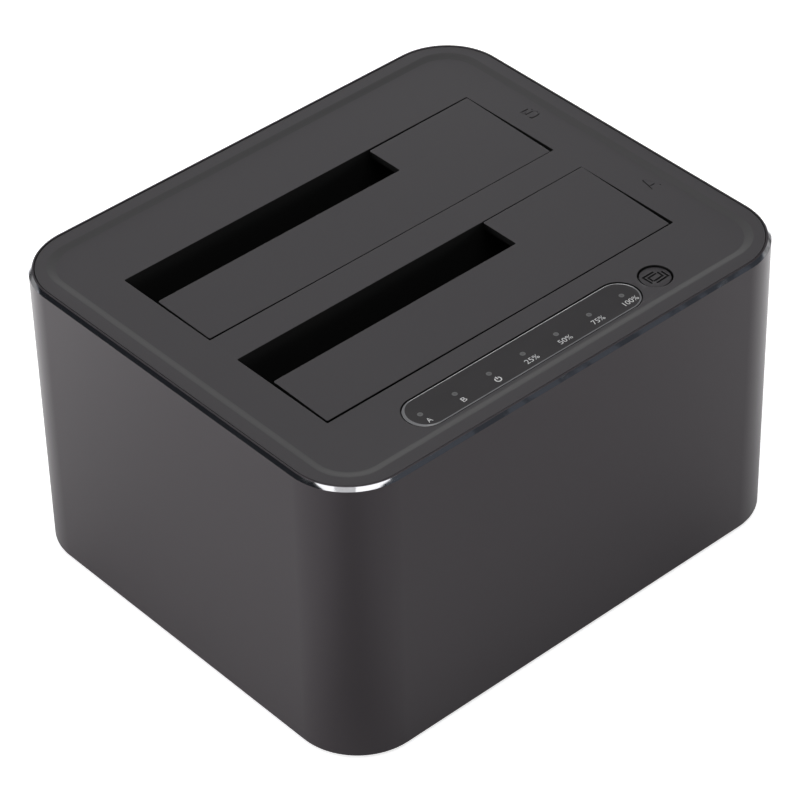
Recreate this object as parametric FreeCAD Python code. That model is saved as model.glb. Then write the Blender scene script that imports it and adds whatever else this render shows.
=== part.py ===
import FreeCAD, Part
import math
import os

# Dual-bay drive dock and duplicator.
# Frame: X along the bays, to the right seen from the front; Y away from the front; Z up.
# Origin: on the surface that the feet stand on, under the middle of the case. Millimetres.

V = FreeCAD.Vector

# ---------------------------------------------------------------- driving sizes
SLEEVE_WIDTH = 136.2
SLEEVE_DEPTH = 115.6
SLEEVE_HEIGHT = 76.7
SLEEVE_CORNER = 16.1
SLEEVE_WALL = 1.2
SLEEVE_CHAMFER = 0.8

FOOT_PROUD = 1.0
FOOT_SEAT = 1.0
FOOT_RADIUS = 5.0
FOOT_PLAY = 0.1
FOOT_X = 47.0
FOOT_Y = 36.0

BASE_THICK = 2.2
BASE_GAP = 0.25
BASE_VENT_LENGTH = 18.0
BASE_VENT_WIDTH = 2.4
BASE_VENT_PITCH = 6.0
BASE_VENT_Y = 16.0
BASE_VENT_COUNT = 11

COVER_THICK = 2.0
COVER_GAP = 0.3
RIM_DROP = 0.1
DISH_DROP = 0.4
BAND_INSET = 4.6
BAND_WIDTH = 2.0
BAND_CORNER = 9.9
DISH_CORNER = 8.4
SKIRT_HEIGHT = 3.2
SKIRT_WALL = 1.4

BAY_LENGTH = 103.0
BAY_WIDTH = 29.57
BAY_PITCH = 38.65
SLOT_LENGTH = 72.0
SLOT_WIDTH = 11.1
COLLAR_WALL = 3.0
COLLAR_HEIGHT = 1.6
WELL_WALL = 1.8
WELL_FLOOR_TOP = 20.0
WELL_FLOOR_THICK = 2.0
WEB_BRIDGE = 2.0
EAR_Y = 28.0
EAR_THICK = 2.5
EAR_DROP = 5.2

FLAP_THICK = 1.8
FLAP_GAP = 0.33
FLAP_END_TAPER = 0.8
PIN_RADIUS = 0.6
PIN_SEAT = 2.5
PIN_RUNNING = 0.05
PIN_INSET = 1.4
PIN_DROP = 1.9
KNUCKLE_RADIUS = 1.1
KNUCKLE_LENGTH = 9.0
FLAP_RIB_INSET = 6.0
FLAP_RIB_THICK = 1.2
FLAP_RIB_DEPTH = 0.8
FLAP_RIB_END = 4.0
SPRING_POCKET = 6.0
SPRING_POCKET_PLAY = 0.4
SPRING_POCKET_ROOF = 0.6
SPRING_END_PLAY = 0.8
SPRING_WIRE = 0.2
SPRING_TURNS = 6
SPRING_LEG = 6.0
STOP_WIDTH = 8.0
STOP_REACH = 0.8
STOP_THICK = 0.8
STOP_INSET = 8.0
STOP_ROOT = 4.0
STOP_PLAY = 0.3
TAB_PLAY = 0.1

LENS_LENGTH = 67.2
LENS_WIDTH = 9.9
LENS_THICK = 1.05
LENS_BEVEL = 0.25
LENS_GAP = 0.27
LENS_SUNK = 0.1
LENS_SEAT_PLAY = 0.05
LENS_X = -5.35
LENS_OFF_MIDDLE = 0.15
LED_COUNT = 7
LED_END = 3.75
LED_ROW_OFFSET = 0.2
LED_ROW_DROP = 0.1
LED_LENGTH = 3.2
LED_WIDTH = 1.6
LED_HEIGHT = 1.2
PIPE_RADIUS = 1.2
PIPE_PLAY = 0.1
PIPE_LIFT = 1.5
GUIDE_THICK = 1.5
GUIDE_WIDTH = 5.0
GUIDE_END = 3.0

BUTTON_FROM_LENS = 6.2
BUTTON_RADIUS = 3.7
BUTTON_BEVEL = 0.3
BUTTON_GAP = 0.35
BUTTON_SUNK = 0.28
BUTTON_FLANGE = 4.6
BUTTON_FLANGE_THICK = 1.0
BUTTON_FLANGE_DROP = 0.2
BUTTON_TRAVEL = 0.5
PLUNGER_RADIUS = 1.7
PLUNGER_PROUD = 0.9
PLUNGER_SEAT = 0.8
PLUNGER_PLAY = 0.08
PLUNGER_FLOOR = 0.2

LED_SCREW_FROM_BUTTON = 8.75
LED_BOARD_END = 2.8
LED_BOARD_WIDTH = 11.6
LED_BOARD_THICK = 1.2
LED_BOARD_DEPTH = 6.5
TACT_SIDE = 6.0
TACT_HEIGHT = 3.4

BOARD_SIDE_GAP = 6.5
BOARD_LEAD = 2.75
BOARD_REAR_GAP = 2.6
BOARD_THICK = 1.6
STANDOFF_HEIGHT = 6.8
STANDOFF_INSET = 5.0
BRIDGE_SIDE = 9.0
BRIDGE_HEIGHT = 0.9
BRIDGE_X = 8.0
MEMORY_SIDE = 5.0
MEMORY_HEIGHT = 1.5
CHIP_BEVEL = 0.15
REGULATOR_SIDE = 5.0
REGULATOR_HEIGHT = 1.5
REGULATOR_PITCH = 8.0
REGULATOR_FROM_REAR = 16.0
INDUCTOR_SIDE = 6.6
INDUCTOR_HEIGHT = 3.0
INDUCTOR_BEVEL = 0.5
INDUCTOR_FROM_REAR = 15.5
INDUCTOR_X = 10.0
CAPACITOR_RADIUS = 3.15
CAPACITOR_HEIGHT = 5.4
CAPACITOR_FROM_FRONT = 6.0
CAPACITOR_FROM_REAR = 12.0
CAPACITOR_FROM_SCREW = 7.0
CAPACITOR_PITCH = 8.0
CRYSTAL_LENGTH = 11.0
CRYSTAL_WIDTH = 4.5
CRYSTAL_CORNER = 2.2
CRYSTAL_HEIGHT = 3.5
CRYSTAL_X = 22.0
HEADER_LENGTH = 12.0
HEADER_WIDTH = 4.0
UPPER_HEADER_HEIGHT = 3.0
LOWER_HEADER_HEIGHT = 3.4
RIBBON_WIDTH = 10.0
RIBBON_THICK = 0.8

DRIVE_PLAY = 0.7
SATA_OFFSET = 30.1
SATA_FROM_WALL = 4.2
SATA_LENGTH = 42.7
SATA_WIDTH = 7.6
SATA_GAP = 0.3
SATA_HEIGHT = 12.0
SATA_WALL = 1.2
SATA_CHANNEL = 5.5
SATA_TONGUE_INSET = 1.2
SATA_TONGUE_THICK = 1.2
SATA_TONGUE_DROP = 0.8
SATA_POWER_LENGTH = 20.6
SATA_SIGNAL_LENGTH = 10.6
SATA_KEY_GAP = 2.8

PORT_WINDOW_WIDTH = 72.0
PORT_WINDOW_Z = 9.0
PORT_WINDOW_HEIGHT = 16.0
PORT_PLATE_GAP = 0.2
PORT_FLANGE = 2.0
PORT_FLANGE_THICK = 1.4
PORT_PLATE_SUNK = 0.2
PORT_HOLE_PLAY = 0.2
PORT_SUNK = 0.6
USB_X = 0.0
USB_WIDTH = 8.94
USB_HEIGHT = 3.26
USB_DEPTH = 8.6
USB_WALL = 0.3
USB_TONGUE_THICK = 0.7
USB_TONGUE_GAP = 1.2
USB_TONGUE_SUNK = 1.0
DC_X = 24.0
DC_BODY = 9.2
DC_DEPTH = 14.0
DC_FLANGE_PLAY = 0.1
DC_NOSE = 4.4
DC_BORE = 3.15
DC_BORE_DEPTH = 9.5
DC_PIN = 1.0
DC_PIN_SUNK = 0.8
DC_PIN_ROOT = 0.5
POWER_X = -24.0
POWER_CAP = 3.4
POWER_FLANGE_STEP = 0.8
POWER_FLANGE_THICK = 1.0
POWER_FLANGE_PLAY = 0.2
POWER_TRAVEL = 1.2
POWER_OVERTRAVEL = 0.3
POWER_BODY = 8.4
POWER_DEPTH = 9.0
POWER_PLUNGER_SEAT = 1.2

CHANNEL_RADIUS = 3.5
CHANNEL_REACH = 12.0
CASE_SCREW_RADIUS = 1.4
COVER_BOSS_HEIGHT = 6.0
BOSS_RADIUS = 3.3
SMALL_SCREW_RADIUS = 1.2
SCREW_HEAD_RADIUS = 2.3
SCREW_HEAD_HEIGHT = 1.3
SCREW_HEAD_PLAY = 0.2
SCREW_SEAT_PLAY = 0.1
SCREW_CROSS = 0.5
SCREW_PLAY = 0.02
SCREW_CLEAR = 0.2
CASE_SCREW_CLEAR = 0.3
CASE_SCREW_SPARE = 1.0
FRAME_SCREW_BITE = 4.4
BOARD_SCREW_BITE = 5.0
LED_SCREW_BITE = 4.6
CUT_OVER = 1.0
ROUND_END_SLACK = 0.001

# ---------------------------------------------------------------- levels and places
BASE_Z = FOOT_PROUD
BASE_TOP = BASE_Z + BASE_THICK
SLEEVE_TOP = BASE_Z + SLEEVE_HEIGHT
RIM_TOP = SLEEVE_TOP - RIM_DROP
DISH_TOP = RIM_TOP - DISH_DROP
COVER_UNDER = DISH_TOP - COVER_THICK
COLLAR_UNDER = COVER_UNDER - COLLAR_HEIGHT
BOARD_Z = BASE_TOP + STANDOFF_HEIGHT
BOARD_TOP = BOARD_Z + BOARD_THICK
LED_BOARD_TOP = COVER_UNDER - LED_BOARD_DEPTH
LED_BOARD_Z = LED_BOARD_TOP - LED_BOARD_THICK
PIN_Z = DISH_TOP - PIN_DROP
WALL_IN_Y = SLEEVE_DEPTH / 2 - SLEEVE_WALL
PORT_Z = PORT_WINDOW_Z + PORT_WINDOW_HEIGHT / 2
CORNER_X = SLEEVE_WIDTH / 2 - SLEEVE_CORNER
CORNER_Y = SLEEVE_DEPTH / 2 - SLEEVE_CORNER
CHANNEL_X = CORNER_X + CHANNEL_REACH * math.sqrt(0.5)
CHANNEL_Y = CORNER_Y + CHANNEL_REACH * math.sqrt(0.5)
CHANNEL_TOP = COVER_UNDER - COVER_BOSS_HEIGHT
FRAME_SIDE = BAY_LENGTH / 2 + WELL_WALL
FRAME_FRONT = BAY_PITCH / 2 + BAY_WIDTH / 2 + WELL_WALL
EAR_X = FRAME_SIDE + BOSS_RADIUS
EAR_TOP = COVER_UNDER - EAR_DROP
SKIRT_IN_Y = WALL_IN_Y - COVER_GAP - SKIRT_WALL
LENS_TOP = DISH_TOP - LENS_SUNK
LENS_Y = LENS_OFF_MIDDLE - (SKIRT_IN_Y + FRAME_FRONT) / 2
LED_PITCH = (LENS_LENGTH - 2 * LED_END) / (LED_COUNT - 1)
LED_ROW_X = LENS_X - LED_ROW_OFFSET
LED_ROW_Y = LENS_Y - LED_ROW_DROP
RIBBON_X = LENS_X - LENS_LENGTH / 4
BUTTON_X = LENS_X + LENS_LENGTH / 2 + BUTTON_FROM_LENS
BUTTON_Y = LED_ROW_Y
LED_SCREW_X = BUTTON_X + LED_SCREW_FROM_BUTTON
LED_BOARD_LENGTH = 2 * (LED_SCREW_X + LED_BOARD_END)
BOARD_SIDE = CHANNEL_X - BOARD_SIDE_GAP
BOARD_FRONT = LENS_Y - BOARD_LEAD
BOARD_REAR = WALL_IN_Y - BOARD_REAR_GAP
STANDOFF_X = BOARD_SIDE - STANDOFF_INSET
STANDOFF_FRONT = BOARD_FRONT + STANDOFF_INSET
STANDOFF_REAR = BOARD_REAR - STANDOFF_INSET
PORT_FACE_Y = SLEEVE_DEPTH / 2 - PORT_SUNK
SATA_X = -BAY_LENGTH / 2 + DRIVE_PLAY + SATA_OFFSET
BAY_CENTRES = {"front": -BAY_PITCH / 2, "rear": BAY_PITCH / 2}


# ---------------------------------------------------------------- helpers
def block(x0, x1, y0, y1, z0, z1):
    return Part.makeBox(x1 - x0, y1 - y0, z1 - z0, V(x0, y0, z0))


def centred_block(x, y, length, width, z0, z1):
    return block(x - length / 2, x + length / 2, y - width / 2, y + width / 2, z0, z1)


def rod(x, y, z0, z1, radius):
    return Part.makeCylinder(radius, z1 - z0, V(x, y, z0))


def rod_x(x0, x1, y, z, radius):
    return Part.makeCylinder(radius, x1 - x0, V(x0, y, z), V(1, 0, 0))


def rod_y(x, y0, y1, z, radius):
    return Part.makeCylinder(radius, y1 - y0, V(x, y0, z), V(0, 1, 0))


def rounded_wire(length, width, radius, z, x=0.0, y=0.0):
    """Rounded rectangle as four lines and four quarter arcs."""
    a = length / 2
    b = width / 2
    turn = math.sqrt(0.5) * radius
    corners = [(a - radius, b - radius, 0), (radius - a, b - radius, 90),
               (radius - a, radius - b, 180), (a - radius, radius - b, 270)]
    edges = []
    ends = []
    for cx, cy, start in corners:
        points = []
        for angle in (start, start + 45, start + 90):
            s = math.sin(math.radians(angle))
            c = math.cos(math.radians(angle))
            points.append(V(x + cx + radius * c, y + cy + radius * s, z))
        ends.append(points)
    for index, points in enumerate(ends):
        edges.append(Part.Arc(*points).toShape())
        following = ends[(index + 1) % 4][0]
        if points[2].distanceToPoint(following) > 1e-6:
            edges.append(Part.LineSegment(points[2], following).toShape())
    return Part.Wire(edges)


def rounded_prism(length, width, radius, z0, z1, x=0.0, y=0.0):
    face = Part.Face(rounded_wire(length, width, radius, z0, x, y))
    return face.extrude(V(0, 0, z1 - z0))


def case_outline(inset, z0, z1, corner=None):
    """Prism whose sides lie a given distance inside the sleeve's outer faces."""
    radius = SLEEVE_CORNER - inset if corner is None else corner
    return rounded_prism(SLEEVE_WIDTH - 2 * inset, SLEEVE_DEPTH - 2 * inset, radius, z0, z1)


def join(shapes):
    shapes = list(shapes)
    return shapes[0].multiFuse(shapes[1:]).removeSplitter() if len(shapes) > 1 else shapes[0]


def remove(shape, tools):
    return shape.cut(list(tools)).removeSplitter()


def corners(x, y):
    return [(sx * x, sy * y) for sx in (-1, 1) for sy in (-1, 1)]


def bevel_top(shape, size, z):
    """Chamfer every edge that lies wholly at height z."""
    edges = [e for e in shape.Edges
             if abs(e.BoundBox.ZMin - z) < 1e-6 and abs(e.BoundBox.ZMax - z) < 1e-6]
    return shape.makeChamfer(size, edges)


def screw(x, y, head_z, length, radius):
    """Pan-head screw that enters upwards; head_z is the seat under the head."""
    shank = rod(x, y, head_z, head_z + length, radius)
    head = rod(x, y, head_z - SCREW_HEAD_HEIGHT, head_z, SCREW_HEAD_RADIUS)
    cross = centred_block(x, y, SCREW_HEAD_RADIUS, SCREW_CROSS, head_z - SCREW_HEAD_HEIGHT,
                          head_z - SCREW_HEAD_HEIGHT / 2)
    cross_two = centred_block(x, y, SCREW_CROSS, SCREW_HEAD_RADIUS, head_z - SCREW_HEAD_HEIGHT,
                              head_z - SCREW_HEAD_HEIGHT / 2)
    return remove(join([shank, head]), [cross, cross_two])


def bay_edges(name):
    centre = BAY_CENTRES[name]
    return centre - BAY_WIDTH / 2, centre + BAY_WIDTH / 2


def pin_y(name):
    return bay_edges(name)[0] + PIN_INSET


# ---------------------------------------------------------------- case
def aluminium_sleeve():
    outer = case_outline(0.0, BASE_Z, SLEEVE_TOP)
    outer = bevel_top(outer, SLEEVE_CHAMFER, SLEEVE_TOP)
    sleeve = outer.cut(case_outline(SLEEVE_WALL, BASE_Z - CUT_OVER, SLEEVE_TOP + CUT_OVER))
    channels = [rod(x, y, BASE_TOP, CHANNEL_TOP, CHANNEL_RADIUS) for x, y in corners(CHANNEL_X, CHANNEL_Y)]
    channels = [c.common(case_outline(SLEEVE_WALL / 2, BASE_Z, SLEEVE_TOP)) for c in channels]
    bores = [rod(x, y, BASE_Z, CHANNEL_TOP + CUT_OVER, CASE_SCREW_RADIUS + CASE_SCREW_CLEAR)
             for x, y in corners(CHANNEL_X, CHANNEL_Y)]
    window = block(-PORT_WINDOW_WIDTH / 2, PORT_WINDOW_WIDTH / 2, WALL_IN_Y - CUT_OVER,
                   SLEEVE_DEPTH / 2 + CUT_OVER, PORT_WINDOW_Z, PORT_WINDOW_Z + PORT_WINDOW_HEIGHT)
    return remove(join([sleeve] + channels), bores + [window])


def dish_cut():
    """Sloping band and sunken centre, cut from the top of the cover."""
    outer_inset = 2 * BAND_INSET
    inner_inset = 2 * (BAND_INSET + BAND_WIDTH)
    top = rounded_wire(SLEEVE_WIDTH - outer_inset, SLEEVE_DEPTH - outer_inset, BAND_CORNER, RIM_TOP)
    low = rounded_wire(SLEEVE_WIDTH - inner_inset, SLEEVE_DEPTH - inner_inset, DISH_CORNER, DISH_TOP)
    return Part.makeLoft([low, top], True, True)


def bay_opening(name, z0, z1, grow=0.0):
    near, far = bay_edges(name)
    return block(-BAY_LENGTH / 2 - grow, BAY_LENGTH / 2 + grow, near - grow, far + grow, z0, z1)


def led_positions():
    first = LED_ROW_X - LED_PITCH * (LED_COUNT - 1) / 2
    return [(first + LED_PITCH * index, LED_ROW_Y) for index in range(LED_COUNT)]


def stop_notch(name):
    """Room for the flap's stop tab in the far wall, down to where the swing leaves the wall."""
    far = bay_edges(name)[1]
    arm = BAY_WIDTH - PIN_INSET
    tab_low = PIN_Z - (COVER_UNDER - TAB_PLAY - STOP_THICK)
    swing = math.hypot(arm + STOP_REACH, tab_low)
    low = PIN_Z - math.sqrt(swing ** 2 - arm ** 2) - STOP_PLAY
    x1 = BAY_LENGTH / 2 - STOP_INSET
    return block(x1 - STOP_WIDTH - STOP_PLAY, x1 + STOP_PLAY, far - CUT_OVER, far + STOP_REACH + STOP_PLAY,
                 low, COVER_UNDER)


def top_cover():
    plate = case_outline(SLEEVE_WALL + COVER_GAP, COVER_UNDER, RIM_TOP)
    skirt_z = COVER_UNDER - SKIRT_HEIGHT
    skirt = case_outline(SLEEVE_WALL + COVER_GAP, skirt_z, COVER_UNDER)
    skirt = skirt.cut(case_outline(SLEEVE_WALL + COVER_GAP + SKIRT_WALL, skirt_z - CUT_OVER, COVER_UNDER))
    collars = [bay_opening(name, COLLAR_UNDER, COVER_UNDER, COLLAR_WALL) for name in BAY_CENTRES]
    bosses = [rod(x, y, CHANNEL_TOP, COVER_UNDER, BOSS_RADIUS) for x, y in corners(CHANNEL_X, CHANNEL_Y)]
    bosses += [rod(x, y, EAR_TOP, COVER_UNDER, BOSS_RADIUS) for x, y in corners(EAR_X, EAR_Y)]
    bosses += [rod(x, LENS_Y, LED_BOARD_TOP, COVER_UNDER, SCREW_HEAD_RADIUS)
               for x in (-LED_SCREW_X, LED_SCREW_X)]
    bosses = [b.common(case_outline(SLEEVE_WALL + COVER_GAP, BASE_Z, RIM_TOP)) for b in bosses]
    body = join([plate, skirt] + collars + bosses)
    cuts = [dish_cut()]
    for name in BAY_CENTRES:
        cuts.append(bay_opening(name, COLLAR_UNDER - CUT_OVER, RIM_TOP + CUT_OVER))
        cuts.append(rod_x(-BAY_LENGTH / 2 - PIN_SEAT, BAY_LENGTH / 2 + PIN_SEAT, pin_y(name), PIN_Z,
                          PIN_RADIUS + SCREW_PLAY))
        cuts.append(stop_notch(name))
    cuts.append(rounded_prism(LENS_LENGTH + 2 * LENS_GAP, LENS_WIDTH + 2 * LENS_GAP,
                              LENS_WIDTH / 2 + LENS_GAP - ROUND_END_SLACK,
                              LENS_TOP - LENS_THICK - LENS_SEAT_PLAY, RIM_TOP + CUT_OVER, LENS_X, LENS_Y))
    cuts += [rod(x, y, COVER_UNDER - CUT_OVER, RIM_TOP, PIPE_RADIUS + PIPE_PLAY) for x, y in led_positions()]
    cuts.append(rod(BUTTON_X, BUTTON_Y, COVER_UNDER - CUT_OVER, RIM_TOP + CUT_OVER,
                    BUTTON_RADIUS + BUTTON_GAP))
    cuts += [rod(x, y, CHANNEL_TOP - CUT_OVER, CHANNEL_TOP + COVER_BOSS_HEIGHT + CASE_SCREW_SPARE,
                 CASE_SCREW_RADIUS + SCREW_PLAY)
             for x, y in corners(CHANNEL_X, CHANNEL_Y)]
    cuts += [rod(x, y, EAR_TOP - CUT_OVER, COVER_UNDER, SMALL_SCREW_RADIUS + SCREW_PLAY)
             for x, y in corners(EAR_X, EAR_Y)]
    cuts += [rod(x, LENS_Y, LED_BOARD_TOP - CUT_OVER, COVER_UNDER, SMALL_SCREW_RADIUS + SCREW_PLAY)
             for x in (-LED_SCREW_X, LED_SCREW_X)]
    return remove(body, cuts)


def base_plate():
    plate = case_outline(SLEEVE_WALL + BASE_GAP, BASE_Z, BASE_TOP)
    standoffs = [rod(x, y, BASE_TOP, BOARD_Z, BOSS_RADIUS)
                 for x in (-STANDOFF_X, STANDOFF_X) for y in (STANDOFF_FRONT, STANDOFF_REAR)]
    cuts = [rod(x, y, BASE_Z - CUT_OVER, BASE_Z + FOOT_SEAT, FOOT_RADIUS + FOOT_PLAY)
            for x, y in corners(FOOT_X, FOOT_Y)]
    cuts += [rod(x, y, BASE_TOP - CUT_OVER, BOARD_Z + CUT_OVER, SMALL_SCREW_RADIUS + SCREW_PLAY)
             for x in (-STANDOFF_X, STANDOFF_X) for y in (STANDOFF_FRONT, STANDOFF_REAR)]
    for x, y in corners(CHANNEL_X, CHANNEL_Y):
        cuts.append(rod(x, y, BASE_Z - CUT_OVER, BASE_TOP + CUT_OVER, CASE_SCREW_RADIUS + SCREW_CLEAR))
        cuts.append(rod(x, y, BASE_Z - CUT_OVER, BASE_Z + SCREW_HEAD_HEIGHT + SCREW_SEAT_PLAY,
                        SCREW_HEAD_RADIUS + SCREW_HEAD_PLAY))
    for y in (-BASE_VENT_Y, BASE_VENT_Y):
        for index in range(BASE_VENT_COUNT):
            x = (index - (BASE_VENT_COUNT - 1) / 2) * BASE_VENT_PITCH
            radius = BASE_VENT_WIDTH / 2 - ROUND_END_SLACK
            cuts.append(rounded_prism(BASE_VENT_WIDTH, BASE_VENT_LENGTH, radius, BASE_Z - CUT_OVER,
                                      BASE_TOP + CUT_OVER, x, y))
    return remove(join([plate] + standoffs), cuts)


def feet():
    return [rod(x, y, 0.0, BASE_Z + FOOT_SEAT, FOOT_RADIUS) for x, y in corners(FOOT_X, FOOT_Y)]


def rear_port_plate():
    half = PORT_WINDOW_WIDTH / 2
    top = PORT_WINDOW_Z + PORT_WINDOW_HEIGHT
    insert = block(-half + PORT_PLATE_GAP, half - PORT_PLATE_GAP, WALL_IN_Y - PORT_FLANGE_THICK,
                   SLEEVE_DEPTH / 2 - PORT_PLATE_SUNK, PORT_WINDOW_Z + PORT_PLATE_GAP, top - PORT_PLATE_GAP)
    flange = block(-half - PORT_FLANGE, half + PORT_FLANGE, WALL_IN_Y - PORT_FLANGE_THICK, WALL_IN_Y,
                   PORT_WINDOW_Z - PORT_FLANGE, top + PORT_FLANGE)
    hole_start = WALL_IN_Y - PORT_FLANGE_THICK - CUT_OVER
    hole_end = SLEEVE_DEPTH / 2
    usb_half = USB_WIDTH / 2 + PORT_HOLE_PLAY
    usb_hole = block(USB_X - usb_half, USB_X + usb_half, hole_start, hole_end, BOARD_TOP - PORT_HOLE_PLAY,
                     BOARD_TOP + USB_HEIGHT + PORT_HOLE_PLAY)
    dc_hole = rod_y(DC_X, hole_start, hole_end, PORT_Z, DC_NOSE + PORT_HOLE_PLAY)
    power_hole = rod_y(POWER_X, hole_start, hole_end, PORT_Z, POWER_CAP + PORT_HOLE_PLAY)
    return remove(join([insert, flange]), [usb_hole, dc_hole, power_hole])


# ---------------------------------------------------------------- bays and flaps
def bay_frame():
    body = block(-FRAME_SIDE, FRAME_SIDE, -FRAME_FRONT, FRAME_FRONT, WELL_FLOOR_TOP - WELL_FLOOR_THICK,
                 COLLAR_UNDER)
    ears = []
    for x, y in corners(EAR_X, EAR_Y):
        root_x = math.copysign(FRAME_SIDE - WELL_WALL / 2, x)
        ears.append(centred_block(x, y, 2 * BOSS_RADIUS, 3 * BOSS_RADIUS, EAR_TOP - EAR_THICK, EAR_TOP))
        ears.append(block(min(x, root_x), max(x, root_x), y - 1.5 * BOSS_RADIUS, y + 1.5 * BOSS_RADIUS,
                          EAR_TOP - EAR_THICK, EAR_TOP))
    cuts = [bay_opening(name, WELL_FLOOR_TOP, COLLAR_UNDER + CUT_OVER) for name in BAY_CENTRES]
    web = BAY_PITCH / 2 - BAY_WIDTH / 2 - WELL_WALL
    cuts.append(block(WELL_WALL - FRAME_SIDE, FRAME_SIDE - WELL_WALL, -web, web,
                      WELL_FLOOR_TOP - WELL_FLOOR_THICK - CUT_OVER, COLLAR_UNDER - WEB_BRIDGE))
    for name in BAY_CENTRES:
        far = bay_edges(name)[1]
        cuts.append(centred_block(SATA_X, far - SATA_FROM_WALL, SATA_LENGTH + 2 * SATA_GAP,
                                  SATA_WIDTH + 2 * SATA_GAP, WELL_FLOOR_TOP - WELL_FLOOR_THICK - CUT_OVER,
                                  WELL_FLOOR_TOP + CUT_OVER))
    cuts += [stop_notch(name) for name in BAY_CENTRES]
    cuts += [rod(x, y, EAR_TOP - EAR_THICK - CUT_OVER, EAR_TOP + CUT_OVER, SMALL_SCREW_RADIUS + SCREW_CLEAR)
             for x, y in corners(EAR_X, EAR_Y)]
    return remove(join([body] + ears), cuts)


def flap_outline(name):
    """L-shaped plate outline: the slot corner is left open and the right end is slightly out of square."""
    near, far = bay_edges(name)
    left = -BAY_LENGTH / 2 + FLAP_GAP
    right = BAY_LENGTH / 2 - FLAP_GAP / 2
    slot_end = -BAY_LENGTH / 2 + SLOT_LENGTH
    slot_near = far - SLOT_WIDTH
    points = [(left, near + FLAP_GAP), (right - FLAP_END_TAPER, near + FLAP_GAP), (right, far - FLAP_GAP),
              (slot_end, far - FLAP_GAP), (slot_end, slot_near), (left, slot_near), (left, near + FLAP_GAP)]
    return Part.makePolygon([V(x, y, DISH_TOP - FLAP_THICK) for x, y in points])


def flap(name):
    near, far = bay_edges(name)
    y = pin_y(name)
    plate = Part.Face(flap_outline(name)).extrude(V(0, 0, FLAP_THICK))
    end = BAY_LENGTH / 2 - FLAP_GAP - FLAP_END_TAPER
    knuckles = [rod_x(-end, -end + KNUCKLE_LENGTH, y, PIN_Z, KNUCKLE_RADIUS),
                rod_x(end - KNUCKLE_LENGTH, end, y, PIN_Z, KNUCKLE_RADIUS)]
    stop_x = BAY_LENGTH / 2 - STOP_INSET
    stop_top = COVER_UNDER - TAB_PLAY
    stop = block(stop_x - STOP_WIDTH, stop_x, far - STOP_ROOT, far + STOP_REACH, stop_top - STOP_THICK,
                 stop_top)
    stop_root = block(stop_x - STOP_WIDTH, stop_x, far - STOP_ROOT, far - FLAP_GAP, stop_top - STOP_THICK,
                      DISH_TOP - FLAP_THICK)
    rib_y = near + FLAP_RIB_INSET
    rib = block(FLAP_RIB_END - end, end - FLAP_RIB_END, rib_y, rib_y + FLAP_RIB_THICK,
                DISH_TOP - FLAP_THICK - FLAP_RIB_DEPTH, DISH_TOP - FLAP_THICK)
    body = join([plate, stop, stop_root, rib] + knuckles)
    bore = rod_x(-BAY_LENGTH / 2, BAY_LENGTH / 2, y, PIN_Z, PIN_RADIUS + PIN_RUNNING)
    pocket_x = KNUCKLE_LENGTH - end
    pocket = block(pocket_x, pocket_x + SPRING_POCKET, near, y + KNUCKLE_RADIUS + SPRING_POCKET_PLAY, PIN_Z,
                   DISH_TOP - SPRING_POCKET_ROOF)
    return remove(body, [bore, pocket])


def hinge_pin(name):
    reach = BAY_LENGTH / 2 + PIN_SEAT
    return rod_x(-reach, reach, pin_y(name), PIN_Z, PIN_RADIUS)


def flap_spring(name):
    """Torsion spring round the pin: one leg under the flap, the other down the bay's near wall."""
    coil_radius = KNUCKLE_RADIUS - SPRING_WIRE
    length = SPRING_POCKET - 2 * SPRING_END_PLAY
    helix = Part.makeHelix(length / SPRING_TURNS, length, coil_radius)
    start = V(coil_radius, 0, 0)
    profile = Part.Wire([Part.makeCircle(SPRING_WIRE, start, V(0, 1, 0))])
    coil = Part.Wire(helix.Edges).makePipeShell([profile], True, True)
    coil.rotate(V(0, 0, 0), V(0, 1, 0), 90)
    under = Part.makeCylinder(SPRING_WIRE, SPRING_LEG, V(0, 0, -coil_radius), V(0, 1, 0))
    down = Part.makeCylinder(SPRING_WIRE, SPRING_LEG, V(length, -coil_radius, 0), V(0, 0, -1))
    tips = [Part.makeSphere(SPRING_WIRE, V(0, 0, -coil_radius)),
            Part.makeSphere(SPRING_WIRE, V(length, -coil_radius, 0))]
    spring = join([coil, under, down] + tips)
    left = KNUCKLE_LENGTH + FLAP_GAP + FLAP_END_TAPER - BAY_LENGTH / 2
    spring.translate(V(left + SPRING_END_PLAY, pin_y(name), PIN_Z))
    return spring


# ---------------------------------------------------------------- light strip and button
def led_lens():
    lens = rounded_prism(LENS_LENGTH, LENS_WIDTH, LENS_WIDTH / 2 - ROUND_END_SLACK, LENS_TOP - LENS_THICK,
                         LENS_TOP, LENS_X, LENS_Y)
    return bevel_top(lens, LENS_BEVEL, LENS_TOP)


def light_guide():
    pipe_low = LED_BOARD_TOP + PIPE_LIFT
    pipe_high = LENS_TOP - LENS_THICK - PIPE_PLAY
    first = led_positions()[0][0] - GUIDE_END
    last = led_positions()[-1][0] + GUIDE_END
    bar = block(first, last, LED_ROW_Y - GUIDE_WIDTH / 2, LED_ROW_Y + GUIDE_WIDTH / 2,
                COVER_UNDER - GUIDE_THICK, COVER_UNDER)
    pipes = [rod(x, y, pipe_low, pipe_high, PIPE_RADIUS) for x, y in led_positions()]
    return join([bar] + pipes)


def leds():
    return [centred_block(x, y, LED_LENGTH, LED_WIDTH, LED_BOARD_TOP, LED_BOARD_TOP + LED_HEIGHT)
            for x, y in led_positions()]


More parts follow.
